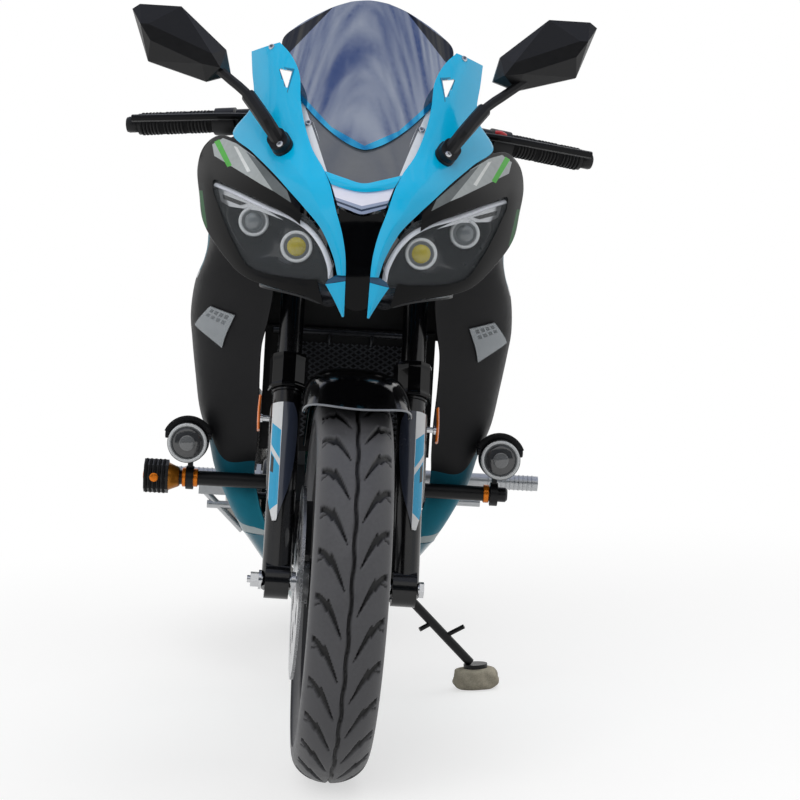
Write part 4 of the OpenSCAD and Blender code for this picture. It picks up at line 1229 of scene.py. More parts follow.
@dataclass
class Headlamps:
    """Lens, bowl, ringed lamps and light strip of each headlamp, in its black shell."""

    lens_rows: Rows = (
        (35, 770, 44, 742), (51, 802, 66, 742), (78, 838, 98, 742), (125, 852, 140, 748),
        (165, 868, 170, 756), (200, 882, 195, 790), (227, 890, 222, 855),
    )
    shell_rows: Rows = (
        (87, 825, 89, 853.5), (105, 837, 112, 876), (135, 851, 151, 912), (165, 864, 191, 946),
        (202, 878, 222, 954), (222, 885, 245, 936), (222, 868, 252, 903), (213, 848, 245, 862),
        (200, 820, 236, 822), (182, 788, 213, 788), (160, 760, 175, 750), (130, 751, 138, 735),
        (98, 748, 86, 726), (70, 747, 62, 718), (58, 749, 48, 712),
    )
    chin_rows: Rows = (
        (-772, 54, 715.4), (-767, 85, 724.4), (-727, 138, 733), (-660, 142, 738), (-600, 140, 740),
    )
    gap_rows: Rows = (
        (77, 858, 96, 846), (97, 878, 119, 868), (124, 905, 158, 904), (159, 935, 198, 936),
        (186, 958, 220, 944),
    )
    strip_line: Rows = (
        (219, 878), (190, 868), (163, 857), (132, 845), (102, 835), (74, 819), (54, 796), (42, 770),
        (39, 750),
    )
    wedge: Rows = ((217, 876), (190, 866), (150, 850), (112, 830), (150, 842), (196, 846), (210, 854))
    slash: Rows = ((208, 864), (170, 852), (180, 849), (206, 857))
    lamps: Rows = ((157, 826, 22, 34), (91, 793, 23, 24))
    deep: float = 72.0

    def bowl(self) -> Shape:
        """Returns: reflector bowls, the lens outline hollowed by deep (1 - (2u - 1)^4)(1 - (2v - 1)^4)."""
        u = np.linspace(0, 1, 61)[:, None]
        v = np.linspace(0, 1, 41)
        x, z = between(self.lens_rows, 60, v)
        y = nose_y(x, z) + 2 * UNDER + 1 + self.deep * (1 - (2 * u - 1) ** 4) * (1 - (2 * v - 1) ** 4)
        return slab(np.stack([x, y, z], -1), np.stack([x, y + PANEL, z], -1)).both()

    def lamp(self, row: Sequence[float]) -> tuple[Shape, Shape, Shape]:
        """One ringed lamp.

        Args:
            row: x, z, radius, and distance behind the lens.

        Returns:
            Its barrel, its ring and its domed lens.
        """
        x, z, r, back = row
        at = (x, nose_y(x, z) + UNDER + PANEL + back - 6, z)
        barrel = revolve(
            [(r - 3, 3), (r - 1, 0), (r + 1, 1), (r + 1, 8), (r, 10), (r, 52)], at, (0, 1, 0), 48,
        )
        ring = revolve(hoop(r - 2, -3, 2.5, 2.2, 16), at, (0, 1, 0), 48)
        return barrel, ring, revolve(dome(r - 5, 4, 11, 9), at, (0, 1, 0), 40)

    def build(self, shop: Workshop) -> None:
        """Adds the headlamps' pieces.

        Args:
            shop: where the pieces are made.
        """
        shop.piece(
            "headlamp_glass", front_sheet(self.lens_rows, 72, 32, UNDER + 0.6, crown=3.0).both(), GLASS,
            "headlamp_lenses", True,
        )
        shop.piece("headlamp_bowl", self.bowl(), BOWL, "headlamp_bowls", True)
        for k, row in enumerate(self.lamps):
            barrel, ring, lens = self.lamp(row)
            shop.piece(f"lamp_barrel_{k}", barrel.both(), BOWL, "headlamp_bowls")
            shop.piece(f"lamp_ring_{k}", ring.both(), HALO, "headlamp_bowls")
            shop.piece(f"lamp_dome_{k}", lens.both(), CLEAR_DOME if k == 0 else YELLOW, "headlamp_bowls")
        path = on_nose(UNDER + PANEL + 9)(np.array(self.strip_line, float), 0)
        shop.piece("light_strip", sweep(path, 6, 9, 72, 14).both(), LED, "headlamp_bowls")
        wedge = plate(self.wedge, on_nose(UNDER + PANEL + 13), 5)
        shop.piece("silver_wedge", wedge.both(), SILVER, "headlamp_bowls", bevel=0.6)
        slash = plate(self.slash, on_nose(UNDER + PANEL + 11), 3)
        shop.piece("wedge_slash", slash.both(), GLOSS_BLACK, "headlamp_bowls")
        skin = replace(
            DEEP_BLACK, name="headlamp_shell",
            patches=(
                Patch(
                    (
                        (231, 940), (214, 950), (192, 942), (137, 906), (112, 880), (102, 856), (147, 880),
                        (224, 916),
                    ),
                    "AEB4B5",
                ),
                Patch(((176, 930), (137, 906), (112, 880), (102, 856), (130, 872)), "6B7173"),
                Patch(((228, 944), (220, 948), (196, 908), (203, 905)), "55B848"),
                Patch(((196, 938), (190, 936), (166, 900), (171, 898)), "E2E5E5"),
                Patch(((256, 880), (238, 880), (224, 800), (246, 800)), "161B1A"),
                Patch(((246, 868), (240, 868), (228, 812), (234, 812)), "3E6B48"),
            ),
        )
        backing = front_sheet(self.gap_rows, 40, 6, back=8)
        shop.piece("shell_backing", backing.both(), MATT_BLACK, "headlamp_shells")
        shop.piece(
            "headlamp_shell", front_sheet(self.shell_rows, 160, 20, crown=1.5).both(), skin,
            "headlamp_shells", True, bevel=0.6,
        )
        r = smooth(self.chin_rows, 40)
        u = np.linspace(-1, 1, 61)
        x = r[:, 1:2] * u
        z = r[:, 2:3] - 5 * np.cos(1.5 * np.pi * u) ** 2 * (r[:, 1:2] > 60)
        outer = np.stack(np.broadcast_arrays(x, r[:, :1], z), -1)
        shop.piece("chin", slab(outer, outer + (0, 2, -PANEL)), GREY_BLACK, "chin_panel", True, bevel=0.6)


@dataclass
class Screen:
    """Smoked windscreen with its grey lower panel, the cover behind it and the instrument."""

    rows: Rows = (
        (30, 1179, 1183), (64, 1165, 1172), (112, 1134, 1128), (134, 1106, 1075), (116, 1058, 1010),
        (104, 1018, 940),
    )
    flange_rows: Rows = (
        (-104, 1032, -109, 994), (-69, 992, -75, 926), (-34, 961, -48, 898), (0, 947, 0, 886),
        (34, 961, 48, 898), (69, 992, 75, 926), (104, 1032, 109, 994),
    )

    def screen(self) -> Shape:
        """Returns: the bubble, x = w u and z = middle + (edge - middle) |u|^1.6 on the screen surface."""
        r = smooth(self.rows, 72)
        u = np.linspace(-1, 1, 61)
        x = r[:, :1] * u
        z = r[:, 2:3] + (r[:, 1:2] - r[:, 2:3]) * np.abs(u) ** 1.6
        outer = np.stack([x, screen_y(x, z), z], -1)
        return slab(outer, outer + (0, 4, 0))

    def flange(self) -> Shape:
        """Returns: the grey panel under the screen's lower edge."""
        x, z = between(self.flange_rows, 84, np.linspace(0, 1, 17))
        outer = np.stack([x, screen_y(x, z) + 4.6, z], -1)
        return slab(outer, outer + (0, PANEL, 0))

    def build(self, shop: Workshop) -> None:
        """Adds the screen's pieces.

        Args:
            shop: where the pieces are made.
        """
        smoked = Finish(
            "smoked_screen", "8C95A8", 0.04, coat=0.6, metallic=0.85, alpha=0.9, grain=Grain.PAINT, bump=0.008,
            scale=40, mottle=0.1,
            patches=(
                Patch(((142, 1112), (56, 1170), (64, 1160), (108, 1101), (127, 1084)), "060607", 1.0),
                Patch(((0, 946), (50, 972), (50, 957), (0, 930)), "12A4D2", 1.0),
                Patch(((50, 972), (106, 1029), (106, 1014), (50, 957)), "12A4D2", 1.0),
            ),
        )
        shop.piece("screen_bubble", self.screen(), smoked, "windscreen", True, bevel=0.8)
        grey = Finish(
            "grey_panel", "56595E", 0.22, coat=0.6, grain=Grain.PAINT, bump=0.02, mottle=0.12,
            patches=(
                Patch(((62, 890), (100, 990), (100, 1030), (70, 950), (52, 905)), "D9DBE0"),
                Patch(((84, 1000), (112, 1000), (112, 1036), (90, 1036)), "D9DBE0"),
                Patch(((70, 960), (80, 985), (66, 948)), "D9DBE0"),
            ),
        )
        shop.piece("screen_flange_skin", self.flange(), grey, "screen_flange", True, bevel=0.5)
        seats = [bolt((s * 84, screen_y(84, 976) + 3.4, 976), (s * 0.2, -0.7, 0.65), 5.5) for s in (-1, 1)]
        shop.piece("screen_screws", merged(*seats), BRIGHT, "screen_flange")
        shop.dress(SATIN_BLACK, "cockpit_panel", bevel=0.5)
        shop.dress(GLOSS_BLACK, "instrument", bevel=1.5)
        face = Finish(
            "display", "0E1A22", 0.08, coat=1.0, glow=0.05, mottle=0.2,
            patches=(
                Patch(((-52, 6), (52, 6), (52, 40), (-52, 40)), "16303C"),
                Patch(((-30, 14), (30, 14), (30, 18), (-30, 18)), "7FA6B5"),
            ),
        )
        u, v = np.meshgrid(np.linspace(-60, 60, 13), np.linspace(3, 47, 9), indexing="ij")
        p = np.stack([u, -501 - 0.92 * (v - 8) + 0.8, 975.3 + 8 + (v - 8) * 1.02], -1)
        q = np.stack([u, v], -1) / 1000
        shop.piece("instrument_face", slab(p + (0, 0.9, 0.9), p, q), face, "instrument")


@dataclass
class SideFairing:
    """Black side panels with plain coloured fields, the belly pan and the indicators."""

    rows: Rows = (
        (852, 232, -540, 240, -512, 228, -430, 206, -348), (800, 172, -568, 222, -528, 234, -390, 208, -236),
        (764, 142, -558, 228, -508, 235, -340, 212, -150), (727, 126, -548, 241, -480, 244, -300, 217, -84),
        (677, 131, -526, 248, -450, 247, -280, 222, -36), (634, 140, -506, 245, -438, 245, -262, 224, -24),
        (579, 141, -482, 237, -424, 242, -268, 226, -66), (520, 139, -455, 227, -412, 235, -280, 224, -128),
        (470, 140, -425, 211, -398, 222, -260, 216, -120), (420, 142, -384, 201, -376, 209, -215, 200, -52),
        (362, 130, -372, 177, -352, 187, -190, 179, 4), (318, 112, -362, 154, -330, 167, -180, 162, 12),
    )
    keel_top: float = 316.8
    keel: float = 150.0
    lamp_rows: Rows = ((3.72, 0.74, 4.42, 0.95), (3.95, 0.45, 5.15, 0.56))

    def at(self, u: Array, v: Array) -> Array:
        """Points of the panel: a curve across four points, which move on curves down the rows.

        Args:
            u: places down the rows (m,).
            v: places across (n,), from 0 to 3.

        Returns:
            Grid (m, n, 3).
        """
        r = curve(self.rows, u)
        four = np.stack([r[:, (1, 2, 0)], r[:, (3, 4, 0)], r[:, (5, 6, 0)], r[:, (7, 8, 0)]])
        return curve(four.reshape(4, -1), v).reshape(len(v), len(u), 3).transpose(1, 0, 2)

    def spot(self, u: Array, v: Array) -> Array:
        """Points of the panel at pairs of places, on the same curves as at().

        Args:
            u: places down the rows, of any shape.
            v: places across, of the same shape.

        Returns:
            One point for each pair.
        """
        r = curve(self.rows, u.ravel())
        four = r[:, ((1, 2, 0), (3, 4, 0), (5, 6, 0), (7, 8, 0))]
        i = np.clip(np.floor(v.ravel()).astype(int), 0, 2)
        k = np.arange(len(i))
        t = (v.ravel() - i)[:, None]
        p = spline(
            four[k, np.maximum(i - 1, 0)], four[k, i], four[k, i + 1], four[k, np.minimum(i + 2, 3)], t,
        )
        return p.reshape(*u.shape, 3)

    def build(self, shop: Workshop) -> None:
        """Adds the fairing's pieces.

        Args:
            shop: where the pieces are made.
        """
        p = self.at(np.linspace(0, 11, 177), np.linspace(0, 3, 121))
        panel = shell(p, (60, 80, 0))
        skin = replace(
            MATT_BLACK, name="fairing_skin", scale=2200,
            patches=(
                Patch(((-505, 812), (-420, 812), (-330, 740), (-470, 745)), "2C6F80"),
                Patch(((-330, 740), (-250, 812), (-140, 700), (-200, 690)), "1B86A8"),
                Patch(((-470, 745), (-330, 740), (-360, 728), (-462, 733)), "C9CED0"),
                Patch(((-400, 480), (-330, 560), (-120, 640), (40, 600), (40, 290), (-400, 290)), "135E72"),
                Patch(((-400, 400), (-200, 470), (40, 470), (40, 290), (-400, 290)), "1A7C93"),
                Patch(((-360, 330), (-180, 372), (30, 372), (30, 290), (-380, 290)), "C6D2D4"),
                Patch(((-330, 440), (-250, 470), (-200, 470), (-300, 425)), "7CC24A"),
                Patch(((-330, 570), (-250, 600), (-240, 590), (-325, 560)), "D5D9DA"),
                Patch(((-230, 560), (-150, 600), (-130, 596), (-220, 548)), "7CC24A"),
            ),
        )
        shop.piece("fairing_left", panel, skin, "side_fairing_left", True, bevel=0.7, angle=50)
        shop.piece("fairing_right", panel.mirrored(), skin, "side_fairing_right", True, bevel=0.7, angle=50)
        self.belly(shop)
        self.indicators(shop)

    def belly(self, shop: Workshop) -> None:
        """Adds the keel below the side panels: x = w |sin a|^1.4, z = top - (top - keel) cos(a)^2.2.

        Args:
            shop: where the pieces are made.
        """
        edge = self.at(np.array([11.0]), np.linspace(0, 3, 73))[0]
        a = np.radians(np.linspace(-90, 90, 61))
        x = edge[:, :1] * powered(np.sin(a), 1.4)
        z = self.keel_top - (self.keel_top - self.keel) * np.clip(np.cos(a), 0, 1) ** 2.2
        p = np.stack(np.broadcast_arrays(x, edge[:, 1:2], z), -1)
        teal = Finish(
            "belly_skin", "17697E", 0.3, coat=0.5, grain=Grain.PAINT, bump=0.03, mottle=0.15,
            patches=(
                Patch(((-380, 250), (30, 250), (30, 120), (-380, 120)), "C6D2D4"),
                Patch(((-300, 262), (-100, 262), (-120, 250), (-310, 250)), "7CC24A"),
            ),
        )
        shop.piece("belly_skin", shell(p, (36, 55, 0)), teal, "belly_pan", True, bevel=0.6, angle=50)

    def indicators(self, shop: Workshop) -> None:
        """Adds the clear lamps, each a tray of chips under a lens.

        Args:
            shop: where the pieces are made.
        """
        q0, q1 = np.array(self.lamp_rows, float)
        s, t = np.meshgrid(np.linspace(0, 1, 25), np.linspace(0, 1, 25), indexing="ij")
        q = q0 + (q1 - q0) * s[..., None]
        u = q[..., 0] + (q[..., 2] - q[..., 0]) * t
        v = q[..., 1] + (q[..., 3] - q[..., 1]) * t
        p = self.spot(u, v)
        n = normals(p)
        n = n * np.sign((n * (0.3, -1, 0)).sum(-1, keepdims=True).mean())
        uv = np.stack([s, t], -1)
        bulge = (1 + 3 * np.sin(np.pi * s) * np.sin(np.pi * t))[..., None]
        chips = []
        for low, colour in ((60, "2E3033"), (250, "45484C")):
            lefts = (120 + 190 * k for k in range(4))
            chips += [
                Patch(((c, low), (c + 130, low), (c + 130, low + 130), (c, low + 130)), colour)
                for c in lefts
            ]
        tray = replace(
            SILVER, name="indicator_tray", colour="A6AAAD", metallic=0.45, patches=tuple(chips),
            grain=Grain.LEATHER, scale=380, bump=0.35,
        )
        shop.piece(
            "indicator_trays", slab(p + n * 3.4, p + n * 0.6, uv).both(), tray, "front_indicators", True,
            bevel=0.4,
        )
        shop.piece(
            "indicator_lenses", slab(p + n * (3.6 + bulge), p + n * (3.0 + bulge), uv).both(),
            replace(GLASS, name="indicator_lens", alpha=0.22), "front_indicators",
        )


@dataclass
class TankAndTail:
    """Tank, seats and tail."""

    tank_rows: Rows = (
        (-296, 62, 900, 822, 0.7), (-262, 112, 948, 806, 0.7), (-170, 148, 984, 760, 0.72),
        (-50, 150, 978, 750, 0.75), (50, 124, 925, 748, 0.75), (122, 84, 842, 750, 0.8),
        (150, 62, 806, 758, 0.8),
    )
    voxel: float = 0.006
    pressure: float = 4.0
    frames: int = 20
    held: float = 0.25
    stitch: float = 0.0022
    tail_rows: Rows = ((474, 128, 752), (560, 116, 786), (660, 100, 820), (760, 80, 852), (850, 50, 880))

    @staticmethod
    def tail_top(y: Array) -> Array:
        """Height of the tail's top line, 812 + 0.24 (y - 474).

        Args:
            y: place along the motorcycle.

        Returns:
            The height.
        """
        return 812 + 0.24 * (np.asarray(y, float) - 474)

    def tank(self) -> Shape:
        """Returns: superellipse rings x = w |cos t|^p, z = middle + h |sin t|^p, with two knee hollows."""
        r = smooth(self.tank_rows, 90)[:, :, None]
        t = np.linspace(0, 2 * np.pi, 97)[:-1]
        c, s = np.cos(t), np.sin(t)
        power = r[:, 4]
        knee = 10 * bell(r[:, 0], 20, 70) * bell(s, 0.1, 0.5)
        x = (r[:, 1] - knee) * powered(c, power)
        z = (r[:, 2] + r[:, 3]) / 2 + (r[:, 2] - r[:, 3]) / 2 * powered(s, power)
        p = np.stack(np.broadcast_arrays(x, r[:, 0], z), -1)
        return ring_solid(p, p[..., 1:] / 1000)

    def tail(self) -> Shape:
        """Returns: the tail's shell, x = w |sin a|^0.7 and z = low + h cos(a)^0.5."""
        r = smooth(self.tail_rows, 64)
        a = np.radians(np.linspace(-90, 90, 81))
        x = r[:, 1:2] * powered(np.sin(a), 0.7)
        z = r[:, 2:3] + (self.tail_top(r[:, :1]) - r[:, 2:3]) * np.clip(np.cos(a), 0, 1) ** 0.5
        p = np.stack(np.broadcast_arrays(x, r[:, :1], z), -1)
        return shell(p, (32, 40, 2))

    def build(self, shop: Workshop) -> None:
        """Adds the tank, the seats and the tail.

        Args:
            shop: where the pieces are made.
        """
        paint = replace(
            CYAN, name="tank_paint",
            patches=(
                Patch(((-330, 700), (200, 700), (200, 800), (-330, 850)), "141416"),
                Patch(((-330, 850), (200, 800), (200, 806), (-330, 858)), "D5D9DA"),
            ),
        )
        shop.piece("tank_skin", self.tank(), paint, "fuel_tank", True, angle=60)
        cap = revolve(
            [(34, -4), (34, 3), (31, 6), (22, 7), (20, 5), (12, 5), (11, 8), (4, 8.5)], (0, -110, 981),
            (0, -0.06, 1), 48,
        )
        shop.piece("filler_cap", cap, BRIGHT, "fuel_tank")
        ring = [
            bolt((26 * math.cos(k), -110 + 26 * math.sin(k), 986), (0, -0.06, 1), 3)
            for k in np.arange(6) * math.pi / 3
        ]
        shop.piece("cap_screws", merged(*ring), BRIGHT, "fuel_tank")
        tail = replace(
            CYAN, name="tail_paint",
            patches=(
                Patch(((470, 740), (900, 860), (900, 885), (470, 775)), "141416"),
                Patch(((470, 775), (900, 885), (900, 890), (470, 781)), "D5D9DA"),
            ),
        )
        shop.piece("tail_skin", self.tail(), tail, "tail_cowl", True, bevel=0.6, angle=50)
        shop.dress(RED_LAMP, "tail_lamp", bevel=1.0)
        shop.dress(SATIN_BLACK, "rear_mudguard", bevel=1.0)
        self.cushion(shop, "rider_seat", 0.009)
        self.cushion(shop, "pillion_seat", 0.007)

    def cushion(self, shop: Workshop, node: str, room: float) -> None:
        """Makes a seat pad: the node's solid, remeshed and swelled by a cloth simulation within a limit.

        Args:
            shop: where the pieces are made.
            node: the seat's node.
            room: most that a point may move, in metres.
        """
        obj = shop.nodes[node].copy()
        obj.data = shop.nodes[node].data.copy()
        obj.name = node + "_pad"
        obj.animation_data_clear()
        bpy.context.scene.collection.objects.link(obj)
        obj.parent = None
        remesh = obj.modifiers.new("remesh", "REMESH")
        remesh.mode, remesh.voxel_size = "VOXEL", self.voxel
        self.apply(obj)
        rest = np.empty(len(obj.data.vertices) * 3, np.float32)
        obj.data.vertices.foreach_get("co", rest)
        rest = rest.reshape(-1, 3)
        centre = rest.mean(0)
        low = rest[:, 2].min()
        start = centre + (rest - centre) * (0.985, 0.985, 0.97)
        shape = start
        obj.data.vertices.foreach_set("co", start.ravel())
        cloth = obj.modifiers.new("cloth", "CLOTH")
        cloth.settings.use_pressure = True
        cloth.settings.uniform_pressure_force = self.pressure
        cloth.settings.effector_weights.gravity = 0.0
        cloth.settings.quality = 4
        for step in range(1, self.frames + 1):
            bpy.context.scene.frame_set(step)
        self.apply(obj)
        moved = np.empty(rest.size, np.float32)
        obj.data.vertices.foreach_get("co", moved)
        bpy.context.scene.frame_set(1)
        d = moved.reshape(-1, 3) - start
        far = np.linalg.norm(d, axis=1, keepdims=True)
        shape = start + d * np.minimum(1, room / np.maximum(far, 1e-9))
        top = np.clip((shape[:, 2] - low) / np.ptp(rest[:, 2]), 0, 1)
        kept = np.minimum(np.maximum(shape, rest.min(0)), rest.max(0))
        shape = np.where((top < self.held)[:, None], kept, shape)
        seam = np.abs(np.sin((shape[:, 1] - rest[:, 1].min()) / np.ptp(rest[:, 1]) * np.pi * 4))
        shape[:, 2] -= self.stitch * bell(seam, 0, 0.09) * (top > 0.6)
        shape[:, 2] = np.maximum(shape[:, 2], low)
        obj.data.vertices.foreach_set("co", shape.astype(np.float32).ravel())
        obj.data.update()
        obj.data.shade_smooth()
        obj.data.materials.clear()
        obj.data.materials.append(SEAT.material())
        finer = obj.modifiers.new("finer", "SUBSURF")
        finer.levels = finer.render_levels = 1
        self.apply(obj)
        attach(obj, shop.bodies[node])
        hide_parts(node)
        shop.dressed.add(node)
        LOG.info("%s: pad of %d points", node, len(obj.data.vertices))

    @staticmethod
    def apply(obj: bpy.types.Object) -> None:
        """Bakes an object's modifiers into its mesh.

        Args:
            obj: the object.
        """
        graph = bpy.context.evaluated_depsgraph_get()
        mesh = bpy.data.meshes.new_from_object(obj.evaluated_get(graph))
        obj.modifiers.clear()
        obj.data = mesh


# Running gear


@dataclass
class Wheel:
    """Tyre with its tread, and the rim and disc that turn with it."""

    end: str
    axle: tuple[float, float]
    radius: float
    width: float
    rim_radius: float
    drop: float
    around: int
    across: int

    def tread(self, side: Array, along: Array) -> Array:
        """Depth of the tread, 1 in a groove.

        A cut runs on rise sin(pi/2 q), q = (t - start) / reach, from a point by the middle to the shoulder,
        with a step half way; it repeats every pitch, and the two sides are half a pitch apart.

        Args:
            side: distance from the middle along the surface, signed.
            along: distance along the circumference.

        Returns:
            Groove mask from 0 to 1.
        """
        repeats, start, reach, rise = 28, 9, 46, 66
        pitch = 2 * math.pi * self.radius / repeats
        t = np.abs(side)
        q = np.clip((t - start) / reach, 0, 1)
        step = 7 * np.clip((q - 0.5) / 0.06, 0, 1)
        mid = rise * np.sin(np.pi / 2 * q) - step
        away = (along - np.where(side > 0, 0, pitch / 2) - mid + pitch / 2) % pitch - pitch / 2
        slope = rise * np.pi / 2 / reach * np.cos(np.pi / 2 * q)
        half = 4.6 * np.clip(q / 0.5, 0, 1) ** 0.8 * np.where(q < 1, 1, 0)
        deep = (half - np.abs(away) / np.sqrt(1 + slope**2)) / 0.8 + 0.5
        cut = np.clip(deep, 0, 1) * (t > start) * (t < start + reach)
        near = (along - np.where(side > 0, pitch / 2, 0) - 14 + pitch / 2) % pitch - pitch / 2
        mark = np.clip((1.6 - np.abs(near + 0.35 * (t - 50))) / 1.0 + 0.5, 0, 1) * (t > 44) * (t < 56)
        line = np.clip((2.3 - np.abs(side + 0.5 * np.sin(along / 9))) / 1.2 + 0.5, 0, 1)
        return np.maximum(np.maximum(cut, 0.7 * mark), line)

    def tyre(self) -> Shape:
        """Returns: crown x = w/2 sin(90 s), r = R - drop (1 - cos(90 s)) with grooves, and both walls."""
        y0, z0 = self.axle
        s = np.linspace(-1, 1, self.across + 1)
        a = np.linspace(0, 2 * np.pi, self.around + 1)[:-1, None]
        x = self.width / 2 * np.sin(np.pi / 2 * s)
        r = self.radius - self.drop * (1 - np.cos(np.pi / 2 * s))
        arc = np.concatenate([[0], np.cumsum(np.hypot(np.diff(x), np.diff(r)))])
        arc = arc - arc[-1] / 2
        m = self.tread(*np.broadcast_arrays(arc, a * self.radius))
        deep = 4.5 * m
        nx, nr = -np.gradient(r, arc), np.gradient(x, arc)
        xs, rs = x - nx * deep * 0.6, r - np.abs(nr) * deep
        crown = np.stack([xs, y0 + rs * np.sin(a), z0 + rs * np.cos(a)], -1)
        bead = self.width / 2 - 17.3
        half, shoulder, rim = self.width / 2, self.radius - self.drop, self.rim_radius
        rows = [
            (half, shoulder), (half + 0.4, shoulder - 9), (half - 4, rim + 26), (bead + 6, rim + 13),
            (bead, rim + 0.5),
        ]
        wall = smooth(rows, 16)
        ridge = 0.5 * bell(np.arange(17), 5, 0.8) + 0.5 * bell(np.arange(17), 12, 0.8)
        b = np.linspace(0, 2 * np.pi, 193)[:-1, None]
        side = np.stack(
            [wall[:, 0] + ridge + 0 * b, y0 + wall[:, 1] * np.sin(b), z0 + wall[:, 1] * np.cos(b)], -1,
        )
        # The groove mask also goes to the material, where its near-black colour paints shade into the cuts.
        band = grid(crown.transpose(1, 0, 2), True, mask=m.T)
        return merged(band, grid(side.transpose(1, 0, 2), True).both())

    def build(self, shop: Workshop) -> None:
        """Adds the tyre and dresses the rim and disc.

        Args:
            shop: where the pieces are made.
        """
        shop.piece(f"{self.end}_tread", self.tyre(), RUBBER, f"{self.end}_tyre", True, angle=60)
        shop.dress(
            replace(SATIN_BLACK, name="wheel_black", colour="101012", grain=Grain.CAST), f"{self.end}_rim",
            bevel=1.2,
        )
        shop.dress(DISC, f"{self.end}_disc")
        y0, z0 = self.axle
        hole = (self.rim_radius - 20) * np.array([0, math.sin(0.3), math.cos(0.3)])
        valve = revolve([(3, 0), (3, 14), (4.2, 15), (4.2, 26), (3, 28)], hole + (6, y0, z0), -hole, 16)
        shop.piece(f"{self.end}_valve", valve, POWDER, f"{self.end}_rim")


